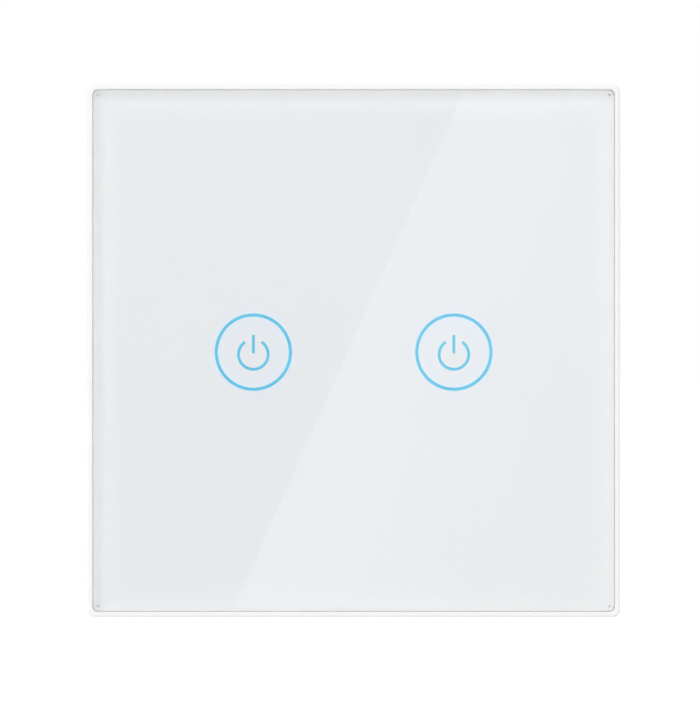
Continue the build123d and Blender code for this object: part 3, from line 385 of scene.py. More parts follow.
def show(name: str, data: bpy.types.ID) -> bpy.types.Object:
    """Puts a mesh, lamp or camera into the scene, at the origin.

    Args:
        name: The name of its object.
        data: The mesh, lamp or camera.

    Returns:
        The object.
    """
    shown = bpy.data.objects.new(name, data)
    bpy.context.scene.collection.objects.link(shown)
    return shown


def slot_of(node: str) -> str:
    """Returns the record's material slot of a node, by the name of the material that it came with."""
    return frame["nodes"][node].material_slots[0].material.name.split(".")[0]


class Piece:
    """One piece of the switch, put together from parts in millimetres and finished as an object in metres."""

    def __init__(self, name: str, finishes: Finishes) -> None:
        """Starts an empty piece.

        Args:
            name: The name of its object.
            finishes: The materials by slot.
        """
        self.name = name
        self.finishes = finishes
        self.shape = bmesh.new()
        self.used: list[str] = []

    def add(self, part: bmesh.types.BMesh, finish: str, places: Iterable[Matrix] = (Matrix.Identity(4),),
            marked: Sequence[str] = ()) -> None:
        """Adds a part to the piece, once at each place, and frees it.

        Args:
            part: The part.
            finish: The finish of its faces.
            places: Where it goes.
            marked: The finishes of the faces whose material index is one, two and so on.
        """
        choice = (finish, *marked)
        self.used += [name for name in choice if name not in self.used]
        for face in part.faces:
            face.material_index = self.used.index(choice[face.material_index if marked else 0])
        pattern = bpy.data.meshes.new(self.name)
        part.to_mesh(pattern)
        part.free()
        for place in places:
            copy = pattern.copy()
            copy.transform(place)
            self.shape.from_mesh(copy)
            bpy.data.meshes.remove(copy)
        bpy.data.meshes.remove(pattern)

    def done(self, body: str, slot: str, replaces: Sequence[str] = (), crease: float = 35.0
             ) -> bpy.types.Object:
        """Finishes the piece.

        Args:
            body: The body that it rides on.
            slot: The record's material slot of its main finish; not used.
            replaces: The nodes that it stands for.
            crease: The angle in degrees past which an edge stays sharp.

        Returns:
            The finished object.
        """
        bmesh.ops.scale(self.shape, vec=(MM, MM, MM), verts=self.shape.verts)
        mesh = bpy.data.meshes.new(self.name)
        self.shape.to_mesh(mesh)
        self.shape.free()
        for name in self.used:
            mesh.materials.append(self.finishes[name])
        mesh.shade_smooth()
        mesh.set_sharp_from_angle(angle=math.radians(crease))
        piece = show(self.name, mesh)
        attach(piece, body)
        if replaces:
            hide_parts(*replaces)
        LOG.info("made %s: %d faces, for %s", self.name, len(mesh.polygons), ", ".join(replaces) or "detail")
        return piece


class Tree:
    """A node tree, with short calls for the nodes that the finishes and the room share."""

    def __init__(self, tree: bpy.types.NodeTree) -> None:
        """Takes up a node tree."""
        self.tree = tree

    def first(self, kind: str) -> bpy.types.Node:
        """Returns the first node of a type in the tree."""
        return next(node for node in self.tree.nodes if node.type == kind)

    def put(self, value: Any, socket: bpy.types.NodeSocket) -> None:
        """Gives a socket its value.

        Args:
            value: The value, or another socket, which is linked.
            socket: The socket.
        """
        if isinstance(value, bpy.types.NodeSocket):
            self.tree.links.new(value, socket)
        else:
            socket.default_value = value

    def node(self, kind: str, inputs: Mapping[str | int, Any] | None = None, **settings: Any
             ) -> bpy.types.Node:
        """Adds a node.

        Args:
            kind: Its kind.
            inputs: What its sockets get, by their names or numbers.
            settings: Its properties.

        Returns:
            The node.
        """
        made = self.tree.nodes.new(kind)
        for name, setting in settings.items():
            setattr(made, name, setting)
        for name, value in (inputs or {}).items():
            self.put(value, made.inputs[name])
        return made

    def math(self, operation: str, *values: bpy.types.NodeSocket | float) -> bpy.types.NodeSocket:
        """Works out a value from one or two others."""
        return self.node("ShaderNodeMath", dict(enumerate(values)), operation=operation).outputs["Value"]

    def span(self, source: bpy.types.NodeSocket, low: bpy.types.NodeSocket | float, high: float,
             from_low: float = 0.3, from_high: float = 0.7, way: str = "LINEAR") -> bpy.types.NodeSocket:
        """Maps a value to a range and keeps it inside.

        Args:
            source: The value.
            low: What it becomes at the low end.
            high: What it becomes at the high end.
            from_low: Where the low end is.
            from_high: Where the high end is.
            way: How it runs from one end to the other.

        Returns:
            What it becomes.
        """
        ends = {"Value": source, "From Min": from_low, "From Max": from_high, "To Min": low, "To Max": high}
        return self.node("ShaderNodeMapRange", ends, interpolation_type=way).outputs["Result"]


def shade(colour: Colour, factor: float) -> Colour:
    """Returns a colour made lighter or darker by a factor, and kept under 1."""
    return tuple(min(channel * factor, 1.0) for channel in colour)


class Recipe(Tree):
    """The node tree of one finish, with short calls for what finishes share."""

    def __init__(self, name: str) -> None:
        """Starts a finish that has a plain surface shader.

        Args:
            name: The name of its material.
        """
        self.material = bpy.data.materials.new(name)
        self.material.use_nodes = True
        super().__init__(self.material.node_tree)

    def settle(self, **values: Any) -> None:
        """Sets or links the surface shader's own sockets, named with underscores for spaces."""
        for name, value in values.items():
            self.put(value, self.first("BSDF_PRINCIPLED").inputs[name.replace("_", " ")])

    def place(self, stretch: Sequence[float] = (1.0, 1.0, 1.0)) -> bpy.types.NodeSocket:
        """Returns the place on the piece.

        Args:
            stretch: A factor along each axis.

        Returns:
            The place in metres, after the stretch.
        """
        here = self.node("ShaderNodeTexCoord").outputs["Object"]
        if tuple(stretch) == (1.0, 1.0, 1.0):
            return here
        return self.node("ShaderNodeMapping", {"Scale": stretch, "Vector": here}).outputs["Vector"]

    def noise(self, per_metre: float, detail: float = 2.0, stretch: Sequence[float] = (1.0, 1.0, 1.0)
              ) -> bpy.types.NodeSocket:
        """Returns an even noise.

        Args:
            per_metre: How many of its waves fit in a metre.
            detail: How many finer layers it has.
            stretch: A factor on its count of waves along each axis.

        Returns:
            The noise, from 0 to 1.
        """
        inputs = {"Scale": per_metre, "Detail": detail, "Vector": self.place(stretch)}
        return self.node("ShaderNodeTexNoise", inputs).outputs["Fac"]

    def waves(self, direction: str, scale: float, distortion: float) -> bpy.types.NodeSocket:
        """Returns even waves along an axis.

        Args:
            direction: The axis.
            scale: Their count for the node, per metre.
            distortion: How far they stray.

        Returns:
            Their height, from 0 to 1.
        """
        inputs = {"Scale": scale, "Distortion": distortion, "Vector": self.place()}
        return self.node("ShaderNodeTexWave", inputs, bands_direction=direction).outputs["Fac"]

    def ramp(self, source: bpy.types.NodeSocket, stops: Sequence[tuple[float, Colour]]
             ) -> bpy.types.NodeSocket:
        """Turns a value into a colour.

        Args:
            source: The value, from 0 to 1.
            stops: The colours with the values that they stand at.

        Returns:
            The colour.
        """
        ramp = self.node("ShaderNodeValToRGB", {"Fac": source})
        elements = ramp.color_ramp.elements
        while len(elements) < len(stops):
            elements.new(1.0)
        for element, (position, colour) in zip(elements, stops):
            element.position = position
            element.color = (*colour, 1.0)
        return ramp.outputs["Color"]

    def tones(self, source: bpy.types.NodeSocket, colour: Colour, dark: float, pale: float = 1.0,
              start: float = 0.3, end: float = 0.7) -> bpy.types.NodeSocket:
        """Returns a colour that goes from a darker to a paler tone with a value.

        Args:
            source: The value.
            colour: The colour.
            dark: The factor of the darker tone.
            pale: The factor of the paler tone.
            start: The value of the darker tone.
            end: The value of the paler tone.

        Returns:
            The colour.
        """
        return self.ramp(source, ((start, shade(colour, dark)), (end, shade(colour, pale))))

    def emboss(self, height: bpy.types.NodeSocket, depth: float) -> None:
        """Gives the surface a relief of a height from 0 to 1, whose depth is in millimetres."""
        bump = self.node("ShaderNodeBump", {"Distance": depth * MM, "Height": height})
        self.settle(Normal=bump.outputs["Normal"])


@dataclass(frozen=True)
class MouldedPlastic:
    """Moulded plastic: a fine spark-eroded grain, and slow changes of tone and gloss from flow and wear."""

    name: str
    colour: Colour
    roughness: float = 0.42
    tone_change: float = 0.03
    grain_per_metre: float = 4200.0
    grain_depth: float = 0.006
    flow_per_metre: float = 90.0
    wear_per_metre: float = 630.0
    glow_through: float = 0.0
    glow_reach: float = 0.9
    glow_tint: Colour = (1.0, 0.95, 0.9)

    def make(self) -> bpy.types.Material:
        """Returns the material."""
        recipe = Recipe(self.name)
        flow = recipe.noise(self.flow_per_metre, detail=3.0)
        wear = recipe.noise(self.wear_per_metre, detail=4.0)
        recipe.settle(Base_Color=recipe.tones(flow, self.colour, 1 - self.tone_change, 1 + self.tone_change),
                      Roughness=recipe.span(wear, self.roughness - 0.05, self.roughness + 0.07))
        if self.glow_through:
            recipe.settle(Subsurface_Weight=self.glow_through, Subsurface_Radius=self.glow_tint,
                          Subsurface_Scale=self.glow_reach * MM)
        recipe.emboss(recipe.noise(self.grain_per_metre, detail=3.0), self.grain_depth)
        return recipe.material


@dataclass(frozen=True)
class PlatedMetal:
    """Plated or bare metal: marks drawn along one way, a slow change of tone and duller patches."""

    name: str
    colour: Colour
    roughness: float = 0.3
    drawn: Point = (1.0, 1.0, 1.0)
    marks_per_metre: float = 3000.0
    mark_depth: float = 0.002
    tarnish: Colour = (0.75, 0.75, 0.75)
    patches_per_metre: float = 260.0

    def make(self) -> bpy.types.Material:
        """Returns the material."""
        recipe = Recipe(self.name)
        dull = tuple(channel * share for channel, share in zip(self.colour, self.tarnish))
        patches = recipe.noise(self.patches_per_metre, detail=5.0)
        marks = recipe.noise(self.marks_per_metre, stretch=self.drawn)
        recipe.settle(Metallic=1.0, Base_Color=recipe.ramp(patches, ((0.35, dull), (0.6, self.colour))),
                      Roughness=recipe.span(marks, self.roughness - 0.08, self.roughness + 0.12))
        recipe.emboss(marks, self.mark_depth)
        return recipe.material


@dataclass(frozen=True)
class BoardMask:
    """Solder mask over woven glass cloth: a deep gloss colour in which the weave is just felt."""

    name: str
    colour: Colour
    roughness: float = 0.28
    weave_pitch: float = 0.45
    weave_depth: float = 0.004
    cloud_per_metre: float = 160.0
    wear_per_metre: float = 900.0

    def make(self) -> bpy.types.Material:
        """Returns the material."""
        recipe = Recipe(self.name)
        cloud = recipe.noise(self.cloud_per_metre, detail=3.0)
        wear = recipe.noise(self.wear_per_metre, detail=3.0)
        recipe.settle(Base_Color=recipe.tones(cloud, self.colour, dark=0.88, pale=1.14),
                      Roughness=recipe.span(wear, self.roughness - 0.06, self.roughness + 0.08))
        scale = 1 / (self.weave_pitch * MM) / 20
        weave = [recipe.waves(direction, scale, distortion=0.4) for direction in "XZ"]
        recipe.emboss(recipe.math("MULTIPLY", *weave), self.weave_depth)
        return recipe.material


@dataclass(frozen=True)
class Speckled:
    """A sintered or foamed stuff: a dull grain of two tones with open pores."""

    name: str
    dark: Colour
    pale: Colour
    roughness: float
    grains_per_metre: float
    pore_depth: float

    def make(self) -> bpy.types.Material:
        """Returns the material."""
        recipe = Recipe(self.name)
        cells = {"Scale": self.grains_per_metre, "Vector": recipe.place()}
        pores = recipe.node("ShaderNodeTexVoronoi", cells).outputs["Distance"]
        grain = recipe.noise(self.grains_per_metre * 0.8, detail=4.0)
        recipe.settle(Base_Color=recipe.ramp(grain, ((0.35, self.dark), (0.65, self.pale))),
                      Roughness=recipe.span(pores, self.roughness - 0.08, self.roughness + 0.08))
        recipe.emboss(pores, self.pore_depth)
        return recipe.material


@dataclass(frozen=True)
class Wound:
    """Enamelled wire or tape laid turn beside turn: a ridge for each turn, and painted shade that darkens the
    grooves between turns.
    """

    name: str
    colour: Colour
    turn_pitch: float
    ridge_depth: float
    roughness: float
    metal: float = 0.0
    coat: float = 0.4
    wear_per_metre: float = 700.0

    def make(self) -> bpy.types.Material:
        """Returns the material."""
        recipe = Recipe(self.name)
        turns = recipe.waves("Y", 1 / (self.turn_pitch * MM) / 20 * math.tau, distortion=0.15)
        wear = recipe.noise(self.wear_per_metre, detail=3.0)
        # Painted shade: the colour darkens where the turns' bump sinks, in the grooves between turns.
        recipe.settle(Base_Color=recipe.tones(turns, self.colour, dark=0.62, start=0.1),
                      Roughness=recipe.span(wear, self.roughness - 0.06, self.roughness + 0.08),
                      Metallic=self.metal, Coat_Weight=self.coat)
        recipe.emboss(turns, self.ridge_depth)
        return recipe.material


@dataclass(frozen=True)
class Lacquer:
    """A dipped or glazed coat: glossy, with the slow ripple of a coat that ran and set."""

    name: str
    colour: Colour
    roughness: float
    ripple_per_metre: float
    ripple_depth: float
    coat: float
    coat_roughness: float = 0.08
    wear_per_metre: float = 1500.0

    def make(self) -> bpy.types.Material:
        """Returns the material."""
        recipe = Recipe(self.name)
        ripple = recipe.noise(self.ripple_per_metre)
        wear = recipe.noise(self.wear_per_metre, detail=3.0)
        recipe.settle(Base_Color=recipe.tones(ripple, self.colour, dark=0.9, pale=1.1),
                      Roughness=recipe.span(wear, self.roughness - 0.05, self.roughness + 0.08),
                      Coat_Weight=self.coat, Coat_Roughness=self.coat_roughness)
        recipe.emboss(ripple, self.ripple_depth)
        return recipe.material


@dataclass(frozen=True)
class ClearGlass:
    """Polished clear float glass; where the print wets its back, light passes on as if there were no face."""

    name: str
    presence: float = 1.0
    clear: Colour = (0.996, 1.0, 0.999)
    tinted: Colour = (0.990, 0.998, 0.996)
    ior: float = 1.5
    cloud_per_metre: float = 30.0

    def make(self) -> bpy.types.Material:
        """Returns the material."""
        recipe = Recipe(self.name)
        tint = recipe.ramp(recipe.noise(self.cloud_per_metre), ((0.3, self.clear), (0.7, self.tinted)))
        recipe.settle(Base_Color=tint, Roughness=0.0, IOR=self.ior, Transmission_Weight=1.0,
                      Alpha=self.presence)
        return recipe.material


@dataclass(frozen=True)
class GroundGlass:
    """The glass's ground edge: satin white, with a faint painted glow, an emission that stands in for the
    light the glass carries to it.
    """

    name: str
    colour: Colour = (0.96, 0.965, 0.965)
    roughness: float = 0.45
    ior: float = 1.5
    clearness: float = 0.15
    # Painted light: the colour and strength of the edge's glow, which is emission.
    painted_carried_colour: Colour = (0.96, 0.98, 1.0)
    painted_carried_light: float = 0.16
    scratches_per_metre: float = 4000.0

    def make(self) -> bpy.types.Material:
        """Returns the material."""
        recipe = Recipe(self.name)
        scratches = recipe.noise(self.scratches_per_metre, detail=3.0)
        # The emission set here is painted light on the edge.
        recipe.settle(Base_Color=recipe.tones(scratches, self.colour, dark=0.93), IOR=self.ior,
                      Roughness=recipe.span(scratches, self.roughness - 0.1, self.roughness + 0.1),
                      Transmission_Weight=self.clearness, Emission_Color=(*self.painted_carried_colour, 1.0),
                      Emission_Strength=self.painted_carried_light)
        return recipe.material


@dataclass(frozen=True)
class BackPrint:
    """White ink on the back of the glass, with a painted blue glow round each lit ring and painted light that
    makes the ink paler near its rim.
    """

    name: str
    icon_x: float
    icon_z: float
    half_width: float
    reach: float = 12.0
    colour: Colour = (0.950, 0.952, 0.960)
    # Painted glow: the blue painted into the ink's colour and the faint blue emission round each lit ring.
    painted_glow_tint: Colour = (0.957, 1.0, 1.0)
    painted_glow_emission: Colour = (0.0, 0.015, 0.07)
    roughness: float = 0.45
    grain_per_metre: float = 5200.0
    grain_depth: float = 0.001
    rim_reach: float = 16.0
    # Painted light: factors on the ink's colour that make it paler near the rim, against the shade that falls
    # there.
    painted_rim_light_shares: tuple[Spot, ...] = (
        (0.0, 1.042), (0.04, 1.042), (0.06, 1.036), (0.08, 1.026), (0.1, 1.012), (0.2, 1.0), (1.0, 1.0))
    # Shares of a ring's painted glow by distance from the ring's centre.
    painted_halo_shares: tuple[Spot, ...] = (
        (0.0, 0.0), (0.25, 0.12), (0.4, 0.45), (0.475, 1.0), (0.515, 0.85), (0.56, 0.45), (0.68, 0.0))

    def make(self) -> bpy.types.Material:
        """Returns the material."""
        recipe = Recipe(self.name)
        split = recipe.node("ShaderNodeSeparateXYZ", {"Vector": recipe.place()})
        off_x, off_z = (recipe.math("ABSOLUTE", split.outputs[axis]) for axis in "XZ")
        across = recipe.math("SUBTRACT", off_x, self.icon_x * MM)
        up = recipe.math("SUBTRACT", split.outputs["Z"], self.icon_z * MM)
        squares = recipe.math("ADD", recipe.math("MULTIPLY", across, across), recipe.math("MULTIPLY", up, up))
        from_icon = recipe.math("DIVIDE", recipe.math("SQRT", squares), self.reach * MM)
        # Painted glow: blue painted into the ink's colour and a faint emission, falling off with distance
        # from each ring.
        painted_halo = recipe.ramp(from_icon, [(spot, self.tint(lit)) for spot, lit in self.painted_halo_shares])
        glow = recipe.ramp(from_icon, [(spot, shade(self.painted_glow_emission, lit)) for spot, lit in self.painted_halo_shares])
        # Painted light: the ink is made paler near the glass's rim, where shade falls.
        inwards = recipe.math("SUBTRACT", self.half_width * MM, recipe.math("MAXIMUM", off_x, off_z))
        from_rim = recipe.math("DIVIDE", inwards, self.rim_reach * MM)
        painted_rim_light = recipe.ramp(from_rim, [(spot, (level, level, level)) for spot, level in self.painted_rim_light_shares])
        ink = recipe.node("ShaderNodeMix", {"Factor": 1.0, 6: painted_halo, 7: painted_rim_light}, data_type="RGBA",
                          blend_type="MULTIPLY")
        recipe.settle(Base_Color=ink.outputs[2], Emission_Color=glow, Emission_Strength=1.0,
                      Roughness=self.roughness)
        recipe.emboss(recipe.noise(self.grain_per_metre), self.grain_depth)
        return recipe.material

    def tint(self, lit: float) -> Colour:
        """Returns the ink's colour with a ring's light painted in, where a share of the ring's full light
        reaches it.
        """
        return tuple(white * (1 - lit + lit * blue) for white, blue in zip(self.colour, self.painted_glow_tint))


@dataclass(frozen=True)
class LitStuff:
    """A film or resin with a lamp behind it, with a little less light in places."""

    name: str
    colour: Colour
    light: Colour
    strength: float
    roughness: float
    coat: float
    cloud_per_metre: float
    colour_tones: Spot
    light_tones: Spot
    coat_roughness: float = 0.05

    def make(self) -> bpy.types.Material:
        """Returns the material."""
        recipe = Recipe(self.name)
        cloud = recipe.noise(self.cloud_per_metre)
        recipe.settle(Base_Color=recipe.tones(cloud, self.colour, *self.colour_tones),
                      Emission_Color=recipe.tones(cloud, self.light, *self.light_tones),
                      Emission_Strength=self.strength, Roughness=self.roughness, Coat_Weight=self.coat,
                      Coat_Roughness=self.coat_roughness)
        return recipe.material


@dataclass(frozen=True)
class FinishSet:
    """Every finish of the switch, each made once and kept by its slot."""

    icon_x: float
    icon_z: float
    print_half: float
    across_screw: Point = (0.25, 4.0, 4.0)
    pressed: Point = (6.0, 0.3, 1.0)

    def make(self) -> Finishes:
        """Returns the materials by the names of their slots."""
        finishes = (
            ClearGlass("glass"),
            ClearGlass("wetted_glass", presence=0.0),
            GroundGlass("ground_edge"),
            BackPrint("back_print", self.icon_x, self.icon_z, self.print_half),
            LitStuff("icon_light", (0.05, 0.22, 0.36), (0.03, 0.355, 0.48), 1.0, 0.4, 0.0, 420.0,
                     colour_tones=(0.94, 1.05), light_tones=(0.94, 1.05)),
            Speckled("foam_tape", (0.075, 0.075, 0.08), (0.15, 0.15, 0.16), 0.85, 5200.0, 0.05),
            MouldedPlastic("panel_plastic", (0.87, 0.87, 0.868), 0.4, 0.008, 5200.0, 0.0002,
                           glow_through=0.6),
            MouldedPlastic("base_plastic", (0.84, 0.84, 0.825), 0.48, 0.02, 3800.0, 0.007),
            PlatedMetal("spring_steel", (0.70, 0.70, 0.72), 0.26, (0.2, 0.2, 5.0)),
            BoardMask("control_board", (0.012, 0.125, 0.045)),
            PlatedMetal("screw_steel", (0.66, 0.66, 0.67), 0.3, self.across_screw),
            MouldedPlastic("shroud_plastic", (0.86, 0.86, 0.85), 0.5, 0.015, 4200.0, 0.005),
            PlatedMetal("touch_spring", (0.80, 0.79, 0.75), 0.22, marks_per_metre=5200.0, mark_depth=0.001),
            LitStuff("led", (0.62, 0.80, 0.92), (0.06, 0.42, 1.0), 1.6, 0.15, 0.7, 1400.0,
                     colour_tones=(0.9, 1.0), light_tones=(0.8, 1.0)),
            MouldedPlastic("chip_plastic", (0.028, 0.028, 0.031), 0.5, 0.12, 9000.0, 0.008),
            Lacquer("passive_ceramic", (0.40, 0.29, 0.19), 0.38, 2600.0, 0.004, 0.1),
            MouldedPlastic("connector_plastic", (0.022, 0.022, 0.024), 0.42, 0.1, 6000.0, 0.005),
            MouldedPlastic("housing_plastic", (0.81, 0.81, 0.795), 0.46, 0.02, 3400.0, 0.008),
            BoardMask("power_board", (0.012, 0.125, 0.045)),
            MouldedPlastic("terminal_plastic", (0.03, 0.21, 0.085), 0.4, 0.06, 4200.0, 0.006),
            PlatedMetal("contact_brass", (0.78, 0.58, 0.27), 0.28, self.pressed, tarnish=(0.8, 0.72, 0.6)),
            PlatedMetal("clamp_steel", (0.68, 0.69, 0.70), 0.34, self.pressed),
            PlatedMetal("terminal_screw_steel", (0.70, 0.70, 0.68), 0.28, self.across_screw),
            MouldedPlastic("relay_plastic", (0.03, 0.03, 0.034), 0.36, 0.1, 5200.0, 0.005),
            MouldedPlastic("relay_base_plastic", (0.045, 0.045, 0.047), 0.5, 0.1, 5200.0, 0.006),
            PlatedMetal("relay_iron", (0.60, 0.60, 0.60), 0.36, (0.4, 4.0, 4.0)),
            MouldedPlastic("bobbin_plastic", (0.78, 0.74, 0.62), 0.45, 0.03, 5200.0, 0.005),
            Wound("copper_winding", (0.72, 0.30, 0.13), 0.24, 0.05, 0.3, metal=0.8),
            Speckled("ferrite", (0.055, 0.055, 0.058), (0.10, 0.10, 0.105), 0.55, 9000.0, 0.012),
            Wound("transformer_tape", (0.80, 0.62, 0.10), 1.6, 0.01, 0.24),
            Lacquer("capacitor_sleeve", (0.03, 0.035, 0.05), 0.2, 300.0, 0.01, 0.5),
            Lacquer("film_capacitor_plastic", (0.72, 0.55, 0.09), 0.34, 380.0, 0.01, 0.2),
            Lacquer("varistor_lacquer", (0.05, 0.17, 0.50), 0.2, 700.0, 0.03, 0.7),
            Lacquer("fuse_plastic", (0.26, 0.13, 0.07), 0.3, 500.0, 0.01, 0.3),
            PlatedMetal("solder", (0.74, 0.74, 0.73), 0.24, marks_per_metre=1800.0, mark_depth=0.01),
            PlatedMetal("gilt_pin", (0.86, 0.68, 0.33), 0.22, (1.0, 0.2, 1.0)),
            BoardMask("masked_track", (0.03, 0.215, 0.085), 0.24),
            MouldedPlastic("board_ink", (0.80, 0.80, 0.78), 0.55, 0.03, 6000.0, 0.004),
            MouldedPlastic("sleeve_stripe", (0.52, 0.55, 0.62), 0.35, 0.04, 2600.0, 0.003),
            PlatedMetal("aluminium", (0.83, 0.83, 0.84), 0.3, (4.0, 0.4, 1.0), 2600.0, 0.002),
        )
        return {finish.name: finish.make() for finish in finishes}


@dataclass(frozen=True, kw_only=True)
class Assembly:
    """A part of the switch, with all finishes at hand for its pieces."""

    finishes: Finishes

    def piece(self, name: str) -> Piece:
        """Starts a piece of this part of the switch."""
        return Piece(name, self.finishes)

    def round_off(self, node: str, width: float, crease: float = 50.0) -> None:
        """Makes a copy of a node with rounded edges, which stands for it and has the finish of its slot.

        Args:
            node: The node.
            width: The width of the rounding in millimetres.
            crease: The angle in degrees past which an edge stays sharp.
        """
        copy = self.piece(f"{node}_rounded")
        copy.add(softened(node, width), slot_of(node))
        made = copy.done(body_of(frame["nodes"][node])[0], slot_of(node), [node], crease)
        made.modifiers.new("flat_faces", "WEIGHTED_NORMAL").keep_sharp = True


@dataclass(frozen=True, kw_only=True)
class GlassFront(Assembly):
    """The front panel: bevelled glass, and the carrier behind it."""

    corner_radius: float = 0.8
    corner_steps: int = 8
    front_bevel: float = 0.6
    back_arris: float = 0.25
    bevel_rounding: float = 0.07
    bevel_steps: int = 3
    bevel_turn: Spot = (0.6, 1.0)
    back_facing: float = -0.9
    ground_facing: float = 0.69
    print_air: float = 0.02
    crease: float = 5.0
    carrier_rounding: float = 0.09

    def make_glass(self) -> None:
        """Makes the glass with its ground edge and its polished bevel."""
        space = Space.of("glass_panel")
        size = space.size - Vector((0, self.print_air, 0))
        glass = block(size)
        soften(glass, edges_rising(glass, size.y / 2, axis=1), self.corner_radius, self.corner_steps)
        for level, width in ((-size.y / 2, self.front_bevel), (size.y / 2, self.back_arris)):
            soften(glass, self.rim(glass, level), width, 1)
        turns = [edge for edge in edges_rising(glass, 0, LEVEL, axis=1)
                 if self.bevel_turn[0] < edge.calc_face_angle(0) < self.bevel_turn[1]]
        soften(glass, turns, self.bevel_rounding, self.bevel_steps)
        glass.normal_update()
        for face in glass.faces:
            ahead = -face.normal.y
            face.material_index = 2 if ahead < self.back_facing else int(ahead < self.ground_facing)
        pane = self.piece("glass_pane")
        centre = space.centre - Vector((0, self.print_air / 2, 0))
        pane.add(glass, "glass", [Matrix.Translation(centre)], ["ground_edge", "wetted_glass"])
        pane.done("front_panel", "glass", ["glass_panel"], self.crease)

    def rim(self, glass: bmesh.types.BMesh, level: float) -> list[bmesh.types.BMEdge]:
        """Returns the edges round the glass that lie at one level along Y."""
        return [edge for edge in glass.edges if all(abs(vert.co.y - level) < LEVEL for vert in edge.verts)
                and edge.calc_face_angle(0) > self.bevel_turn[1]]

    def make(self) -> None:
        """Makes the glass and the carrier."""
        self.make_glass()
        self.round_off("panel_carrier", self.carrier_rounding)


@dataclass(frozen=True, kw_only=True)
class Casing(Assembly):
    """The moulded and pressed parts whose solids are right, each copied with its edges rounded."""

    roundings: tuple[tuple[str, float], ...] = (
        ("base_plate", 0.12), ("rear_housing", 0.16), ("light_shrouds", 0.1), ("housing_screws", 0.08),
        ("control_board_screws", 0.08), ("terminal_block", 0.1), ("relay_covers", 0.12),
        ("relay_bases", 0.05), ("relay_yokes", 0.08), ("relay_bobbins", 0.06), ("transformer_core", 0.12),
        ("film_capacitor", 0.15), ("socket_strip", 0.08), ("terminal_contacts", 0.06),
        ("clamp_cage_1", 0.08), ("clamp_cage_2", 0.08), ("clamp_cage_3", 0.08), ("clamp_cage_4", 0.08),
        ("relay_armature_left", 0.08), ("relay_armature_right", 0.08), ("relay_moving_contact_left", 0.04),
        ("relay_moving_contact_right", 0.04), ("relay_fixed_contacts", 0.06))

    def make(self) -> None:
        """Makes the rounded parts."""
        for node, width in self.roundings:
            self.round_off(node, width)


@dataclass(frozen=True, kw_only=True)
class Board(Assembly):
    """What the two boards share: a face, and the strips, joints and printed outlines that lie on it."""

    node: ClassVar[str]
    side: ClassVar[Side]
    ink_width: float
    ink_rise: float = 0.02

    @property
    def face(self) -> float:
        """Where the face that carries the parts is along Y."""
        space = Space.of(self.node)
        return space.low.y if self.side is Side.FRONT else space.high.y

    def seats(self, spots: Iterable[Spot], turn: float = 0.0) -> list[Matrix]:
        """Returns where a part goes that stands on the face at each of some spots."""
        return [seat(x, self.face, z, self.side, turn) for x, z in spots]

    def lay(self, piece: Piece, points: Sequence[Spot], width: float, rise: float, finish: str) -> None:
        """Lays a strip along a line on the face.

        Args:
            piece: The piece that it goes to.
            points: The line's points as X and Z.
            width: The strip's width.
            rise: How far it stands proud.
            finish: Its finish.
        """
        levels = sorted((self.face, self.face + self.side.value * rise))
        piece.add(slab(strip_outline(points, width), *levels), finish)

    def print_box(self, ink: Piece, low: Spot, high: Spot) -> None:
        """Prints a box's outline on the face.

        Args:
            ink: The piece that it goes to.
            low: Its lower left corner as X and Z.
            high: Its upper right corner.
        """
        corners = [low, (high[0], low[1]), high, (low[0], high[1])]
        for start, end in zip(corners, corners[1:] + corners[:1]):
            self.lay(ink, [start, end], self.ink_width, self.ink_rise, "board_ink")

    def print_round(self, ink: Piece, node: str, room: float) -> None:
        """Prints a box's outline on the face, round a node and some room away from it."""
        space = Space.of(node)
        self.print_box(ink, (space.low.x - room, space.low.z - room),
                       (space.high.x + room, space.high.z + room))


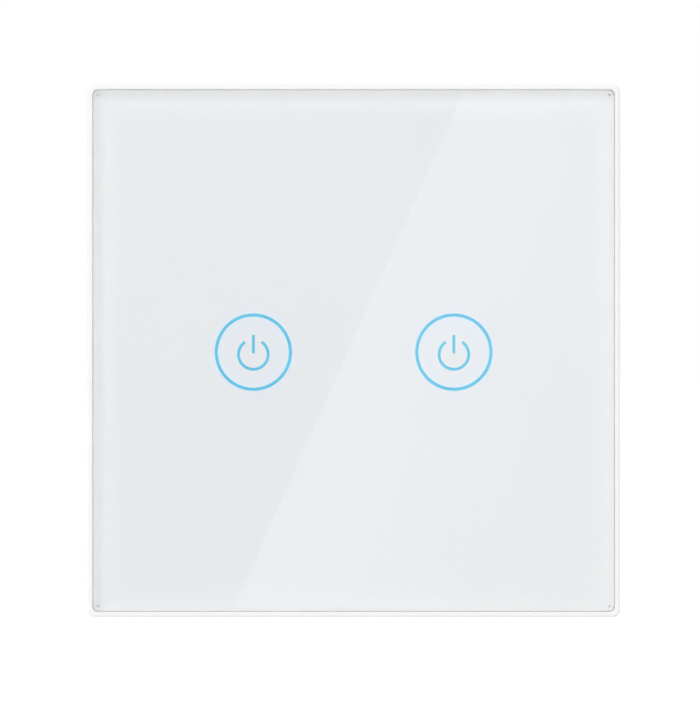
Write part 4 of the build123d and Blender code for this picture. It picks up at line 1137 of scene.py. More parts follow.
@dataclass(frozen=True, kw_only=True)
class ControlBoard(Board):
    """The board behind the glass: copper and ink, lamps, touch springs, chip, small parts and connector."""

    node: ClassVar[str] = "control_board"
    side: ClassVar[Side] = Side.FRONT
    icon_x: float
    icon_z: float
    ink_width: float = 0.16
    ink_room: float = 0.5
    ink_between_leads: float = 1.3
    ink_before_parts: float = 1.3
    ink_past_parts: float = 0.6
    ink_circle: float = 9.2
    ink_gap: float = 12.0
    dot_radius: float = 0.28
    dot_beside: float = 1.1
    dot_above: float = 1.0
    copper_rise: float = 0.035
    track_width: float = 0.28
    track_step: float = 0.75
    supply_width: float = 0.8
    supply_jog: float = 2.0
    supply_rise: float = 7.5
    edge_room: float = 5.2
    lead_overlap: float = 0.4
    straight: float = 0.6
    lamp_approach: float = 0.9
    lamp_gap: float = 9.0
    guard_circle: float = 4.5
    guard_ends: Spot = (-60.0, 240.0)
    feed_route: tuple[Spot, ...] = ((14.5, -2.0), (16.5, -2.0), (18.5, -4.0), (27.5, -4.0))
    sense_route: tuple[Spot, ...] = ((14.5, 2.0), (24.0, 2.0), (27.5, 5.5))
    sense_drop: float = 6.0
    via_beside: float = 6.6
    via_below: Spot = (3.2, -1.6)
    free_vias: tuple[Spot, ...] = ((29.8, 14.0), (25.0, 12.0), (24.0, -20.0))
    via_outline: tuple[Spot, ...] = ((0.16, 0.0), (0.16, 0.04), (0.34, 0.05), (0.39, 0.0))
    screw_outline: tuple[Spot, ...] = ((1.1, 0.0), (1.1, 0.05), (2.6, 0.05), (2.65, 0.0))
    joint_outline: tuple[Spot, ...] = (
        (0.0, 0.9), (0.22, 0.88), (0.36, 0.6), (0.5, 0.28), (0.82, 0.06), (0.86, 0.0))
    foot_outline: tuple[Spot, ...] = (
        (0.0, 0.5), (0.24, 0.48), (0.36, 0.26), (0.62, 0.08), (0.95, 0.04), (1.0, 0.0))
    mark_outline: tuple[Spot, ...] = ((0.0, 0.0), (0.3, 0.0), (0.36, 0.03), (0.42, 0.0))
    screw_head_radius: float = 1.9
    pad_radius: float = 0.75
    pad_height: float = 0.05
    pad_rise: float = 0.02
    pad_drop: float = 4.6
    pad_columns: Point = (1.6, 4.8, 8.0)
    pin_count: int = 7
    pin_pitch: float = 2.54
    pin_side: float = 0.64
    pin_taper: float = 0.15
    strip_waist: float = 0.4
    lead_count: int = 8
    lead_pitch: float = 1.1
    lead_reach: float = 1.0
    lead_thickness: float = 0.15
    lead_width: float = 0.4
    lead_root: float = 0.3
    lead_shoulder: float = 0.24
    lead_heel: float = 0.5
    lead_chamfer: float = 0.02
    chip_stand: float = 0.1
    chip_draft: float = 0.1
    chip_upright: float = 0.08
    chip_rounding: float = 0.06
    mark_inset: Spot = (1.0, 0.9)
    mark_sink: float = 0.005
    lamp_circle: float = 6.0
    lamp_count: int = 4
    lamp_length: float = 1.6
    lamp_width: float = 0.9
    lamp_base: float = 0.28
    lamp_base_inset: float = 0.5
    lamp_cap: float = 0.3
    lamp_cap_height: float = 0.32
    lamp_cap_inset: float = 0.02
    lens_foot: float = 0.26
    lens_inset: Spot = (0.62, 0.08)
    lens_rounding: float = 0.09
    part_length: float = 1.6
    part_width: float = 0.8
    part_cap: float = 0.28
    part_pitch: float = 2.0
    part_columns: Point = (7.5, 10.5, 13.5)
    part_link: Spot = (1.0, 2.0)
    part_inset: Point = (0.5, 0.04, 0.06)
    part_rounding: float = 0.05
    resistor_share: float = 0.75
    glaze_height: float = 0.05
    glaze_inset: Spot = (0.6, 0.12)
    toe_reach: float = 0.3
    toe_kink: Spot = (0.08, 0.12)
    toe_share: float = 0.7
    foot_radius: float = 2.4
    top_radius: float = 4.0
    spring_wire: float = 0.4
    spring_leg: float = 0.4
    spring_bend: float = 0.6
    spring_bend_steps: int = 6
    spring_turns: float = 2.5
    spring_steps: int = 24

    @property
    def icons(self) -> list[Spot]:
        """The centres of the two touch points."""
        return [(side * self.icon_x, self.icon_z) for side in BOTH]

    @property
    def header_level(self) -> float:
        """How high the connector stands."""
        return Space.of("socket_strip").centre.z

    @property
    def pins(self) -> list[float]:
        """Where the connector's pins are along X."""
        return [(number - (self.pin_count - 1) / 2) * self.pin_pitch for number in range(self.pin_count)]

    @property
    def leads(self) -> list[float]:
        """Where the chip's leads are along X."""
        return [(number - (self.lead_count - 1) / 2) * self.lead_pitch for number in range(self.lead_count)]

    @property
    def spring_feet(self) -> list[Spot]:
        """Where the legs of the two springs stand on the board."""
        return [(x + self.foot_radius, z - self.spring_bend) for x, z in self.icons]

    def chip_tracks(self) -> list[list[Spot]]:
        """Returns the thin tracks from the chip to the connector, the lamps and the small parts."""
        chip = Space.of("touch_controller")
        start, top = chip.high.z - self.lead_overlap, chip.high.z + self.straight
        low = Space.of("socket_strip").low.z - self.pin_pitch
        tracks = [[(lead, start), (lead, low - abs(pin - lead)), (pin, low), (pin, self.header_level)]
                  for lead, pin in zip(self.leads[2:6], self.pins[1:3] + self.pins[4:6])]
        for side, (x, z) in zip(BOTH, self.icons):
            for lead, drop in zip(self.leads[6:], (0.0, self.track_step)):
                level = z - self.lamp_circle - drop
                tracks.append([(side * lead, start), (side * lead, top), (side * (lead + level - top), level),
                               (x - side * (self.lamp_approach - drop), level)])
            for row in (-1, 0, 1):
                level = chip.centre.z + row * self.part_pitch
                tracks += [[(side * (column + reach), level) for reach in self.part_link]
                           for column in self.part_columns[:-1]]
            tracks.append([(side * across, chip.centre.z + up) for across, up in self.sense_route]
                          + [(side * self.sense_route[-1][0], z - self.sense_drop)])
        return tracks

    def make_copper(self) -> None:
        """Makes the tracks under the solder mask."""
        copper = self.piece("control_board_tracks")
        middle = Space.of("touch_controller").centre.z
        lines = [(self.track_width, track) for track in self.chip_tracks()]
        step = 360 / self.lamp_count
        for side, (x, z) in zip(BOTH, self.icons):
            lines += [(self.track_width, arc(x, z, self.lamp_circle, step * number + self.lamp_gap,
                                             step * (number + 1) - self.lamp_gap))
                      for number in range(self.lamp_count)]
            lines.append((self.supply_width, arc(x, z, self.guard_circle, *self.guard_ends)))
            start, low = side * self.pins[-1], self.header_level - self.supply_jog
            rim = side * (Space.of(self.node).high.x - self.edge_room)
            lines.append((self.supply_width, [
                (start, self.header_level), (start + side * self.supply_jog, low), (rim, low),
                (rim, z + self.supply_rise), (x, z + self.supply_rise)]))
            feed = [(side * across, middle + up) for across, up in self.feed_route]
            lines.append((self.supply_width / 2, feed))
        for width, line in lines:
            self.lay(copper, line, width, self.copper_rise, "masked_track")
        copper.done("root", "control_board")

    def make_joints(self) -> None:
        """Makes the bare metal on the board: vias, pads, screw rings and the connector's solder joints."""
        metal = self.piece("control_board_solder")
        chip = Space.of("touch_controller")
        vias = [(self.feed_route[-1][0], chip.centre.z + self.feed_route[-1][1]),
                (self.via_beside, chip.centre.z), (self.via_below[0], chip.low.z + self.via_below[1]),
                (self.sense_route[-1][0], self.icon_z - self.sense_drop),
                (self.icon_x, self.icon_z + self.supply_rise),
                (self.icon_x - self.guard_circle, self.icon_z), *self.free_vias]
        metal.add(turned(self.via_outline, 16), "solder",
                  self.seats((side * x, z) for side in BOTH for x, z in vias))
        heads, inset = Space.of("control_board_screws"), self.screw_head_radius
        holes = [(x, z) for x in (heads.low.x + inset, heads.high.x - inset)
                 for z in (heads.low.z + inset, heads.high.z - inset)]
        metal.add(turned(self.screw_outline, 40), "solder", self.seats(holes))
        metal.add(turned(self.joint_outline, 20), "solder",
                  self.seats((x, self.header_level) for x in self.pins))
        metal.add(turned(self.foot_outline, 24), "solder", self.seats(self.spring_feet))
        metal.add(drum(self.pad_radius, self.pad_height, 28, self.pad_rise), "gilt_pin",
                  [seat(side * x, self.face - self.pad_rise, chip.low.z - self.pad_drop)
                   for side in BOTH for x in self.pad_columns])
        metal.done("root", "screw_steel")

    def make_ink(self) -> None:
        """Makes the printed outlines of the parts, which carry no lettering."""
        ink = self.piece("control_board_ink")
        chip, small = Space.of("touch_controller"), Space.of("chip_passives")
        room, between = self.ink_room, self.ink_between_leads
        self.print_box(ink, (chip.low.x - room, chip.low.z + between),
                       (chip.high.x + room, chip.high.z - between))
        self.print_round(ink, "socket_strip", room)
        near = self.part_columns[0] - self.ink_before_parts
        for side in BOTH:
            left, right = sorted((side * near, side * (small.high.x + room)))
            self.print_box(ink, (left, small.low.z - self.ink_past_parts),
                           (right, small.high.z + self.ink_past_parts))
        for x, z in self.icons:
            for start in range(0, 360, 90):
                quarter = arc(x, z, self.ink_circle, start + self.ink_gap, start + 90 - self.ink_gap)
                self.lay(ink, quarter, self.ink_width, self.ink_rise, "board_ink")
        dot = seat(chip.low.x - self.dot_beside, self.face - self.ink_rise / 2, chip.low.z + self.dot_above)
        ink.add(drum(self.dot_radius, self.ink_rise, 20), "board_ink", [dot])
        ink.done("root", "control_board")

    def make_lamps(self) -> None:
        """Makes the indicator lamps: a carrier, two end terminals and a clear domed lens."""
        lamps = self.piece("indicator_lamps")
        height = Space.of("indicator_leds").size.y
        length, width, base, cap = self.lamp_length, self.lamp_width, self.lamp_base, self.lamp_cap
        places = []
        for number in range(self.lamp_count):
            angle = 360 / self.lamp_count * number
            across, up = (self.lamp_circle * way(math.radians(angle)) for way in (math.cos, math.sin))
            places += self.seats([(x + across, z + up) for x, z in self.icons], angle + 90)
        lamps.add(block((length - self.lamp_base_inset, width, base), 0.03, 1, (0, 0, base / 2)),
                  "board_ink", places)
        for end in BOTH:
            centre = (end * (length - cap) / 2, 0, self.lamp_cap_height / 2)
            terminal = (cap, width - self.lamp_cap_inset, self.lamp_cap_height)
            lamps.add(block(terminal, 0.04, centre=centre), "gilt_pin", places)
        lens = (length - self.lens_inset[0], width - self.lens_inset[1], height - self.lens_foot)
        lamps.add(block(lens, self.lens_rounding, 3, (0, 0, (height + self.lens_foot) / 2)), "led", places)
        lamps.done("root", "led", ["indicator_leds"])

    def make_springs(self) -> None:
        """Makes the two touch springs: a straight leg, a bend and a coil that widens towards the glass."""
        springs = self.piece("touch_spring_wires")
        bend, top = self.spring_bend, self.face - self.spring_leg
        low, high = top - bend, Space.of("touch_springs").low.y + self.spring_wire / 2
        count = round(self.spring_turns * self.spring_steps)
        for (x, z), (foot_x, foot_z) in zip(self.icons, self.spring_feet):
            points = [(foot_x, self.face, foot_z), (foot_x, top, foot_z)]
            for step in range(1, self.spring_bend_steps):
                angle = math.pi / 2 * step / self.spring_bend_steps
                points.append((foot_x, top - bend * math.sin(angle), foot_z + bend * (1 - math.cos(angle))))
            for step in range(count + 1):
                share = step / count
                angle = math.tau * self.spring_turns * share
                radius = self.foot_radius + (self.top_radius - self.foot_radius) * share
                points.append((x + radius * math.cos(angle), low + (high - low) * share,
                               z + radius * math.sin(angle)))
            springs.add(wire(points, self.spring_wire, 12), "touch_spring")
        springs.done("root", "touch_spring", ["touch_springs"], 50.0)

    def make_chip(self) -> None:
        """Makes the touch controller: its body, the mark at its first lead and its bent leads."""
        chip = self.piece("touch_chip")
        space = Space.of("touch_controller")
        stand, reach, thick, wide = self.chip_stand, self.lead_reach, self.lead_thickness, self.lead_width
        depth, height = space.size.z - 2 * reach, space.size.y - stand
        body = block((space.size.x, depth, height))
        soften(body, edges_rising(body, height / 2), self.chip_upright, 1)
        bmesh.ops.bisect_plane(body, geom=[*body.verts, *body.edges, *body.faces], plane_co=(0, 0, 0),
                               plane_no=(0, 0, 1))
        for vert in body.verts:
            draft = 1 - self.chip_draft * abs(vert.co.z) / height
            vert.co.x *= 1 - (1 - draft) * depth / space.size.x
            vert.co.y *= draft
        ends = [edge for edge in body.edges
                if all(abs(abs(vert.co.z) - height / 2) < LEVEL for vert in edge.verts)]
        soften(body, ends, self.chip_rounding)
        chip.add(body, "chip_plastic", [seat(space.centre.x, self.face - stand - height / 2, space.centre.z)])
        across, up = self.mark_inset
        mark = seat(space.low.x + across, space.low.y + self.mark_sink, space.centre.z - depth / 2 + up)
        chip.add(turned(self.mark_outline, 24), "chip_plastic", [mark])
        middle = stand + height / 2
        line = [(-self.lead_root, middle), (self.lead_shoulder, middle), (self.lead_heel, thick / 2),
                (reach, thick / 2)]
        lead = slab(strip_outline(line, thick), -wide / 2, wide / 2)
        soften(lead, lead.edges, self.lead_chamfer, 1)
        places = []
        for side in reversed(BOTH):
            places += self.seats([(x, space.centre.z + side * depth / 2) for x in self.leads], side * 90)
        chip.add(lead, "solder", places)
        chip.done("root", "chip_plastic", ["touch_controller"])

    def make_small_parts(self) -> None:
        """Makes the small capacitors and resistors, with their end caps and the solder at their feet."""
        parts = self.piece("small_parts")
        space = Space.of("chip_passives")
        length, width, cap = self.part_length, self.part_width, self.part_cap
        for row in (-1, 0, 1):
            resistor = row == 0
            height = space.size.y * (self.resistor_share if resistor else 1.0)
            level = space.centre.z + row * self.part_pitch
            places = self.seats((side * x, level) for side in BOTH for x in self.part_columns)
            body = Vector((length, width, height)) - Vector(self.part_inset)
            parts.add(block(body, 0.04, centre=(0, 0, height / 2)),
                      "board_ink" if resistor else "passive_ceramic", places)
            if resistor:
                glaze = (length - self.glaze_inset[0], width - self.glaze_inset[1], self.glaze_height)
                parts.add(block(glaze, 0.02, 1, (0, 0, height - self.glaze_height / 2)), "chip_plastic",
                          places)
            for end in BOTH:
                centre = (end * (length - cap) / 2, 0, height / 2)
                parts.add(block((cap, width, height), self.part_rounding, centre=centre), "solder", places)
                toe = end * length / 2
                fillet = [(toe, 0.0), (toe + end * self.toe_reach, 0.0),
                          (toe + end * self.toe_kink[0], self.toe_kink[1]), (toe, height * self.toe_share)]
                parts.add(slab(fillet, -width / 2, width / 2), "solder", places)
        parts.done("root", "passive_ceramic", ["chip_passives"])

    def make_pins(self) -> None:
        """Makes the pin strip: its moulded strip with a waist at each pin, and the gilt pins through it."""
        strip = self.piece("pin_strip_and_pins")
        space = Space.of("pin_strip")
        height, floor = space.size.z, Space.of("power_board").low.y
        cell = block((self.pin_pitch, height, height))
        soften(cell, edges_rising(cell, height / 2), self.strip_waist, 1)
        strip.add(cell, "connector_plastic", [seat(x, floor - height / 2, space.centre.z) for x in self.pins])
        pin = block((self.pin_side, self.pin_side, space.size.y))
        soften(pin, edges_rising(pin, 0, LEVEL), self.pin_taper, 1)
        strip.add(pin, "gilt_pin", [seat(x, space.centre.y, space.centre.z) for x in self.pins])
        strip.done("root", "connector_plastic", ["pin_strip"])

    def make(self) -> None:
        """Makes everything on the board."""
        self.make_copper()
        self.make_joints()
        self.make_ink()
        self.make_lamps()
        self.make_springs()
        self.make_chip()
        self.make_small_parts()
        self.make_pins()


@dataclass(frozen=True, kw_only=True)
class PowerBoard(Board):
    """The board in the housing: capacitors, varistor, fuse, transformer, relay coils, screws and solder."""

    node: ClassVar[str] = "power_board"
    side: ClassVar[Side] = Side.BACK
    ink_width: float = 0.2
    ink_reach: float = 0.4
    sides: int = 64
    lead_radius: float = 0.3
    lead_spreads: tuple[tuple[str, float], ...] = (
        ("bulk_capacitor", 3.5), ("small_capacitor", 2.0), ("fuse", 2.0))
    stripe_angle: float = 20.0
    turn_pitch: float = 0.17
    turn_depth: float = 0.05
    winding_inner: float = 2.15
    relay_x: float = 6.1
    relay_pins: tuple[Spot, ...] = ((-2.5, 6.4), (2.5, 6.4), (0.0, -6.4))
    film_spread: float = 10.0
    bobbin_stand: float = 2.9
    bobbin_pin_row: float = 3.8
    bobbin_pin_radius: float = 0.35
    flange: float = 0.6
    flange_rounding: float = 0.15
    tape_inset: float = 0.2
    tape_corner: float = 1.2
    lap_thickness: float = 0.1
    lap_offset: float = 0.8
    head_height: float = 1.6
    under_head: float = 0.2
    head_rounding: float = 0.12
    thread_pitch: float = 0.6
    thread_depth: float = 0.26
    thread_steps: int = 20
    thread_runout: float = 0.3
    thread_relief: float = 0.4
    thread_bite: float = 0.03
    contact_inset: float = 0.4
    varistor_rim: tuple[Spot, ...] = ((0.72, 1.0), (0.9, 0.84), (0.985, 0.44))
    varistor_kink: tuple[Spot, ...] = (
        (0.0, -0.2), (0.0, 0.5), (0.3, 0.9), (0.3, 1.1), (0.0, 1.5), (0.0, 3.0))
    joint_outline: tuple[Spot, ...] = (
        (0.0, 0.8), (0.3, 0.76), (0.42, 0.5), (0.62, 0.22), (0.98, 0.05), (1.02, 0.0))

    def stand(self, node: str, level: float | None = None) -> Matrix:
        """Returns the place of a part that stands up from the board in the middle of a node's space."""
        space = Space.of(node)
        return seat(space.centre.x, space.low.y if level is None else level, space.centre.z, self.side)

    def pair(self, node: str, spread: float) -> list[Spot]:
        """Returns the two spots a spread apart along X about a node's middle."""
        centre = Space.of(node).centre
        return [(centre.x + side * spread / 2, centre.z) for side in BOTH]

    def bobbin_pins(self) -> list[Spot]:
        """Returns where the transformer's four pins are."""
        space = Space.of("transformer_winding")
        return [(space.centre.x + side * space.size.x / 4, space.centre.z + row * self.bobbin_pin_row)
                for side in BOTH for row in BOTH]

    def make_capacitors(self) -> None:
        """Makes the two electrolytic capacitors: crimped cans in striped sleeves, with scored metal tops."""
        for node, spread in self.lead_spreads[:2]:
            piece = self.piece(f"{node}_can")
            size = Space.of(node).size
            radius, height = size.x / 2, size.y
            place = self.stand(node)
            can = turned([(0, 0.1), (radius * 0.8, 0.1), (radius * 0.86, 0), (radius - 0.08, 0.06),
                          (radius, 0.25), (radius, 1.0), (radius * 0.94, 1.25), (radius * 0.94, 1.45),
                          (radius, 1.7), (radius, height - 0.3), (radius - 0.1, height - 0.08),
                          (radius - 0.35, height), (radius * 0.8, height), (radius * 0.78, height - 0.1),
                          (0, height - 0.1)], self.sides)
            for face in can.faces:
                middle = face.calc_center_median()
                angle = math.degrees(math.atan2(middle.y, -middle.x))
                face.material_index = int(abs(angle) < self.stripe_angle and middle.xy.length > radius * 0.9)
            piece.add(can, "capacitor_sleeve", [place], ["sleeve_stripe"])
            piece.add(drum(radius * 0.77, 0.12, self.sides, 0.04), "aluminium",
                      [place @ at(0, 0, height - 0.07)])
            piece.add(block((radius * 1.1, radius * 0.09, 0.08), 0.02, 1), "aluminium",
                      [place @ at(0, 0, height - 0.02, Matrix.Rotation(turn, 4, "Z"))
                       for turn in (0, math.pi / 2)])
            piece.add(drum(self.lead_radius, 1.0, 16), "solder", self.seats(self.pair(node, spread)))
            piece.done("root", "capacitor_sleeve", [node])

    def make_varistor(self) -> None:
        """Makes the varistor: a dipped disc on two kinked wires."""
        piece = self.piece("varistor_disc")
        space = Space.of("varistor")
        radius, half, z = space.size.x / 2, space.size.z / 2, space.centre.z
        rim = [(radius * share, half * rise) for share, rise in self.varistor_rim]
        outline = [(0, -half * 0.96), *((reach, -rise) for reach, rise in rim), (radius, 0), *reversed(rim),
                   (0, half * 0.96)]
        piece.add(turned(outline, self.sides), "varistor_lacquer",
                  [at(space.centre.x, space.high.y - radius, z)])
        for side, (x, _) in zip(BOTH, self.pair("varistor", radius)):
            line = [(x + side * out, self.face + up, z) for out, up in self.varistor_kink]
            piece.add(wire(line, 2 * self.lead_radius, 12), "solder")
            piece.add(drum(0.35, 1.2, 20, 0.05, 0.8), "varistor_lacquer",
                      [seat(x, self.face + 2.2, z, self.side)])
        piece.done("root", "varistor_lacquer", ["varistor"])

    def make_fuse(self) -> None:
        """Makes the fuse: a moulded cap on a base that is a little wider, on two wires."""
        piece = self.piece("fuse_cap")
        size = Space.of("fuse").size
        radius, height = size.x / 2, size.y
        cap = [(0, 0), (radius - 0.1, 0), (radius, 0.1), (radius, 0.7), (radius - 0.1, 0.8),
               (radius - 0.12, 0.85), (radius - 0.16, height - 0.45), (radius - 0.28, height - 0.15),
               (radius - 0.55, height), (radius * 0.5, height), (radius * 0.46, height - 0.12),
               (0, height - 0.12)]
        piece.add(turned(cap, self.sides), "fuse_plastic", [self.stand("fuse")])
        piece.add(drum(self.lead_radius, 1.0, 16), "solder", self.seats(self.pair(*self.lead_spreads[2])))
        piece.done("root", "fuse_plastic", ["fuse"])

    def make_coils(self) -> None:
        """Makes the relays' coils, turn beside turn."""
        piece = self.piece("relay_coil_turns")
        space = Space.of("relay_windings")
        outer, length = space.size.z / 2, space.size.y
        turns = round(length / self.turn_pitch)
        pitch, groove = length / turns, outer - self.turn_depth
        outline = [(self.winding_inner, 0.0)]
        for number in range(turns):
            outline += [(groove, pitch * number), (outer, pitch * (number + 0.5))]
        outline += [(groove, length), (self.winding_inner, length)]
        piece.add(turned(outline, self.sides), "copper_winding",
                  [seat(side * self.relay_x, space.low.y, space.centre.z, self.side) for side in BOTH])
        piece.done("root", "copper_winding", ["relay_windings"], 80.0)

    def make_transformer(self) -> None:
        """Makes the transformer's bobbin, its taped winding with a lapped end, and its pins."""
        piece = self.piece("transformer_bobbin")
        space = Space.of("transformer_winding")
        size, low = space.size, self.face + self.bobbin_stand
        height = space.high.y - low
        place, taped_height = self.stand("transformer_winding", low), height - 2 * self.flange
        piece.add(block((size.x, size.z, self.flange), self.flange_rounding), "relay_base_plastic",
                  [place @ at(0, 0, level) for level in (self.flange / 2, height - self.flange / 2)])
        taped = block((size.x - self.tape_inset, size.z - 2 * self.tape_inset, taped_height))
        soften(taped, edges_rising(taped, taped_height / 2), self.tape_corner, 4)
        piece.add(taped, "transformer_tape", [place @ at(0, 0, height / 2)])
        lap = block((size.x / 2, self.lap_thickness, taped_height - 0.1), 0.04, 1)
        piece.add(lap, "transformer_tape",
                  [place @ at(self.lap_offset, side * (size.z / 2 - self.tape_inset), height / 2)
                   for side in BOTH])
        piece.add(drum(self.bobbin_pin_radius, self.bobbin_stand + 0.4, 16), "solder",
                  [seat(x, (low + self.face) / 2, z, self.side) for x, z in self.bobbin_pins()])
        piece.done("root", "transformer_tape", ["transformer_winding"])

    def make_screws(self) -> None:
        """Makes the four clamp screws, each with its cross recess from the frame and a rolled thread."""
        for number in range(1, 5):
            node = f"terminal_screw_{number}"
            piece = self.piece(f"{node}_threaded")
            space = Space.of(node)
            x, z = space.centre.x, space.centre.z
            screw = softened(node, self.head_rounding)
            under = space.high.y - self.head_height - self.under_head
            stem = [vert for vert in screw.verts if vert.co.y < under]
            shank = max(abs(vert.co.x - x) for vert in stem)
            bmesh.ops.scale(screw, vec=(1 - self.thread_depth / shank, 1, 1 - self.thread_depth / shank),
                            space=Matrix.Translation((-x, 0, -z)), verts=stem)
            piece.add(screw, "terminal_screw_steel")
            radius = shank - self.thread_depth / 2 - self.thread_bite
            low = space.low.y + self.thread_runout
            turns = (under - self.thread_relief - low) / self.thread_pitch
            line = []
            for step in range(round(turns * self.thread_steps) + 1):
                angle = math.tau * step / self.thread_steps
                line.append((x + radius * math.cos(angle), low + self.thread_pitch * step / self.thread_steps,
                             z - radius * math.sin(angle)))
            piece.add(wire(line, self.thread_depth), "terminal_screw_steel")
            piece.done(f"clamp_screw_{number}", "terminal_screw_steel", [node], 50.0)

    def make_joints(self) -> None:
        """Makes the solder joints on the board's front, one for each wire and pin that comes through it."""
        piece = self.piece("power_board_solder")
        front = Space.of("power_board").low.y
        spots = self.bobbin_pins() + self.pair("varistor", Space.of("varistor").size.x / 2)
        for node, spread in self.lead_spreads:
            spots += self.pair(node, spread)
        film, relays = Space.of("film_capacitor").centre, Space.of("relay_covers").centre.z
        spots += [(film.x, film.z + side * self.film_spread / 2) for side in BOTH]
        spots += [(side * self.relay_x + across, relays + up)
                  for side in BOTH for across, up in self.relay_pins]
        legs = Space.of("terminal_contacts").high.z - self.contact_inset
        spots += [(Space.of(f"terminal_screw_{number}").centre.x, legs) for number in range(1, 5)]
        piece.add(turned(self.joint_outline, 24), "solder", [seat(x, front, z) for x, z in spots])
        piece.done("root", "screw_steel")

    def make_ink(self) -> None:
        """Makes the printed outlines round the parts on the board's back, which carry no lettering."""
        ink = self.piece("power_board_ink")
        for node, _ in self.lead_spreads:
            outer = Space.of(node).size.x / 2 + self.ink_reach
            inner, rise = outer - self.ink_width, self.ink_rise
            ring = turned([(outer, 0), (outer, rise), (inner, rise), (inner, 0)], self.sides)
            ink.add(ring, "board_ink", [self.stand(node, self.face)])
        for node in ("film_capacitor", "varistor", "transformer_winding"):
            self.print_round(ink, node, self.ink_reach)
        ink.done("root", "power_board")

    def make(self) -> None:
        """Makes everything on the board."""
        self.make_capacitors()
        self.make_varistor()
        self.make_fuse()
        self.make_coils()
        self.make_transformer()
        self.make_screws()
        self.make_joints()
        self.make_ink()


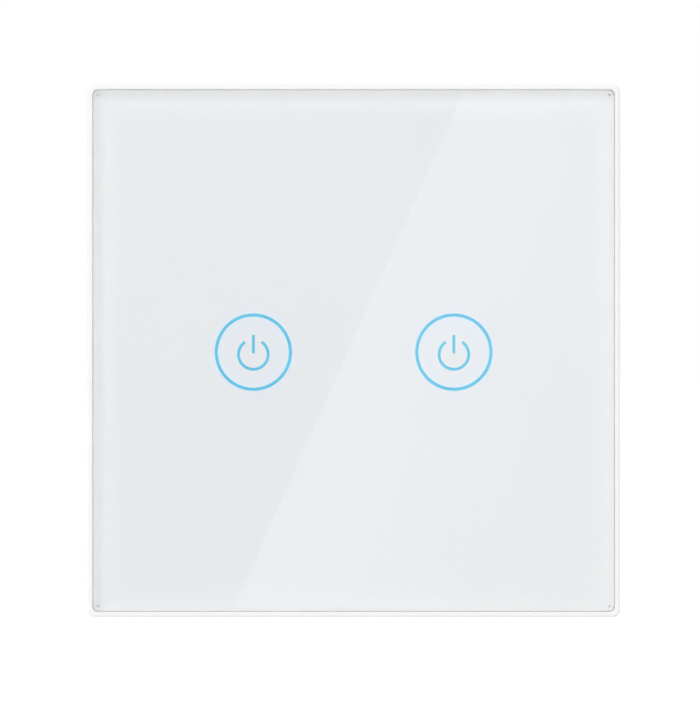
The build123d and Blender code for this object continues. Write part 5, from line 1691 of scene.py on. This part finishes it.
@dataclass(frozen=True)
class Studio:
    """The plain pale floor, the lamps and the camera."""

    camera_distance: float = 600.0
    view_width: float = 112.72
    camera_x: float = -0.59
    camera_z: float = 0.02
    sensor_width: float = 36.0
    clip_start: float = 10.0
    floor_drop: float = 70.0
    floor_reach: float = 12000.0
    floor_colour: Colour = (0.93, 0.93, 0.93)
    floor_roughness: float = 0.9
    floor_glow: float = 0.3
    room_level: float = 0.76
    dome_level: float = 0.52
    dome_reach: float = 80.0
    key_strength: float = 0.17
    key_way: Point = (-0.7, -1.0, 0.6)
    key_spread: float = 24.0
    card_distance: float = 780.0
    card_half: float = 420.0
    card_floor_gap: float = 3.0
    card_colour: Colour = (1.0, 0.995, 0.985)
    sheen: float = 0.95
    sheen_start: float = 30.0
    sheen_fade: float = 90.0
    sheen_rest: float = 0.35
    sheen_ends: tuple[Spot, Spot] = ((17.3, 40.8), (-19.6, -42.1))
    top_glow: float = 0.4
    top_glow_low: float = -10.0
    top_glow_high: float = 42.0
    top_glow_reach: float = 55.0
    top_glow_rest: float = 0.2

    def make_camera(self) -> None:
        """Makes the camera, straight in front of the glass."""
        data = bpy.data.cameras.new("camera")
        data.sensor_fit = "HORIZONTAL"
        data.sensor_width = self.sensor_width
        data.lens = self.sensor_width * self.camera_distance / self.view_width
        data.clip_start = self.clip_start * MM
        camera = show("camera", data)
        level = Space.of("glass_panel").low.y - self.camera_distance
        camera.location = Vector((self.camera_x, level, self.camera_z)) * MM
        camera.rotation_euler = (math.pi / 2, 0, 0)
        bpy.context.scene.camera = camera

    def make_room(self) -> None:
        """Makes the room's even light: white where it is seen or mirrored, and plain where it lights."""
        world = bpy.data.worlds.new("room")
        bpy.context.scene.world = world
        world.use_nodes = True
        room = Tree(world.node_tree)
        rays = room.node("ShaderNodeLightPath").outputs
        seen = rays["Is Camera Ray"]
        for name in ("Is Glossy Ray", "Is Transmission Ray"):
            seen = room.math("MAXIMUM", seen, rays[name])
        shown = room.math("MULTIPLY", seen, room.math("LESS_THAN", rays["Diffuse Depth"], 0.5))
        ways = {0: room.node("ShaderNodeTexCoord").outputs["Generated"], 1: Vector(self.key_way).normalized()}
        towards = room.node("ShaderNodeVectorMath", ways, operation="DOT_PRODUCT").outputs["Value"]
        dome = room.span(towards, self.room_level, self.room_level + self.dome_level,
                         math.cos(math.radians(self.dome_reach)), 1.0, "SMOOTHSTEP")
        background = room.first("BACKGROUND").inputs
        room.put((1.0, 1.0, 1.0, 1.0), background["Color"])
        room.put(room.span(shown, dome, 1.0, 0.0, 1.0), background["Strength"])

    def make_key(self) -> None:
        """Makes the soft key light from the upper left."""
        data = bpy.data.lights.new("key", "SUN")
        data.energy = self.key_strength
        data.angle = math.radians(self.key_spread)
        show("key", data).rotation_euler = Vector(self.key_way).to_track_quat("Z", "Y").to_euler()

    @staticmethod
    def stage_sheet(name: str, half: float, place: Matrix, finish: bpy.types.Material) -> bpy.types.Object:
        """Makes a flat square of the studio.

        Args:
            name: The name of its object.
            half: Half the length of its side in millimetres.
            place: Where it goes.
            finish: Its finish.

        Returns:
            The object.
        """
        part = bmesh.new()
        bmesh.ops.create_grid(part, x_segments=1, y_segments=1, size=half, matrix=place)
        bmesh.ops.scale(part, vec=(MM, MM, MM), verts=part.verts)
        mesh = bpy.data.meshes.new(name)
        part.to_mesh(mesh)
        part.free()
        mesh.materials.append(finish)
        sheet = show(name, mesh)
        sheet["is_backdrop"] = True
        return sheet

    def make_floor(self) -> None:
        """Makes the floor, which is white to the camera and darker where the switch shades it."""
        recipe = Recipe("floor")
        seen = recipe.node("ShaderNodeLightPath").outputs["Is Camera Ray"]
        recipe.settle(Base_Color=(*self.floor_colour, 1.0), Roughness=self.floor_roughness,
                      Specular_IOR_Level=0.0, Emission_Color=(1.0, 1.0, 1.0, 1.0),
                      Emission_Strength=recipe.math("MULTIPLY", seen, self.floor_glow))
        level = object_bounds()[0][2] / MM - self.floor_drop
        self.stage_sheet("floor", self.floor_reach, at(0, 0, level), recipe.material)

    def card_finish(self, factor: float) -> bpy.types.Material:
        """Makes the light card's finish: brighter past a leaning edge, and towards its top on the other side.

        Args:
            factor: How much larger the card is than what it shows on the glass.

        Returns:
            The material, which adds its light to the room's.
        """
        (high_x, high_z), (low_x, low_z) = [
            (self.camera_x + (x - self.camera_x) * factor, self.camera_z + (z - self.camera_z) * factor)
            for x, z in self.sheen_ends]
        slope = (high_x - low_x) / (high_z - low_z)
        edge = (high_x - slope * high_z) * MM
        recipe = Recipe("card")
        split = recipe.node("ShaderNodeSeparateXYZ", {"Vector": recipe.place()}).outputs
        lean = recipe.math("SUBTRACT", split["X"], recipe.math("MULTIPLY", split["Z"], slope))
        fading = recipe.span(lean, self.sheen, self.sheen * self.sheen_rest, edge + self.sheen_start * MM,
                             edge + self.sheen_fade * MM)
        past = recipe.math("MULTIPLY", recipe.math("GREATER_THAN", lean, edge), fading)
        high = recipe.span(split["Z"], 0.0, self.top_glow, self.top_glow_low * MM,
                           self.top_glow_high * factor * MM)
        far = recipe.span(lean, 1.0, self.top_glow_rest, edge - self.top_glow_reach * factor * MM, edge)
        before = recipe.math("MULTIPLY", recipe.math("LESS_THAN", lean, edge),
                             recipe.math("MULTIPLY", high, far))
        glow = recipe.node("ShaderNodeEmission", {"Color": (*self.card_colour, 1.0),
                                                  "Strength": recipe.math("ADD", past, before)})
        clear = recipe.node("ShaderNodeBsdfTransparent")
        both = recipe.node("ShaderNodeAddShader", {0: glow.outputs[0], 1: clear.outputs[0]})
        recipe.put(both.outputs[0], recipe.first("OUTPUT_MATERIAL").inputs["Surface"])
        return recipe.material

    def make_card(self) -> None:
        """Makes the light card that only mirrors see, which draws the leaning sheen on the glass."""
        glass = Space.of("glass_panel")
        level = glass.low.y - self.card_distance
        factor = (self.card_distance + self.camera_distance) / self.camera_distance
        bottom = glass.low.z - self.floor_drop + self.card_floor_gap
        place = at(0, level, bottom + self.card_half, Matrix.Rotation(-math.pi / 2, 4, "X"))
        card = self.stage_sheet("card", self.card_half, place, self.card_finish(factor))
        for ray in ("camera", "diffuse", "shadow", "transmission"):
            setattr(card, f"visible_{ray}", False)

    def make(self) -> None:
        """Makes the whole studio, and sets how its light is shown and not blurred inside the glass."""
        scene = bpy.context.scene
        scene.view_settings.view_transform = "Standard"
        scene.cycles.blur_glossy = 0.0
        self.make_camera()
        self.make_room()
        self.make_key()
        self.make_floor()
        self.make_card()
        LOG.info("made the studio")


def dress_rest(finishes: Finishes) -> None:
    """Gives each node that shows its own shape the finish of its slot, and leaves the shape alone.

    Args:
        finishes: The materials by slot.
    """
    for node, shape in frame["nodes"].items():
        if not shape.hide_render:
            shape.material_slots[0].material = finishes[slot_of(node)]
            LOG.info("dressed %s: %s", node, slot_of(node))


def main() -> None:
    """Builds the switch's pieces in order, dresses the rest of the frame and lights it."""
    logging.basicConfig(level=logging.INFO, format="%(message)s")
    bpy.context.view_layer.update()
    films = Space.of("icon_diffusers")
    icon_x = films.high.x - films.size.z / 2
    finishes = FinishSet(icon_x, films.centre.z, Space.of("back_print").high.x).make()
    GlassFront(finishes=finishes).make()
    Casing(finishes=finishes).make()
    ControlBoard(finishes=finishes, icon_x=icon_x, icon_z=films.centre.z).make()
    PowerBoard(finishes=finishes).make()
    dress_rest(finishes)
    Studio().make()


if __name__ == "__main__":
    main()
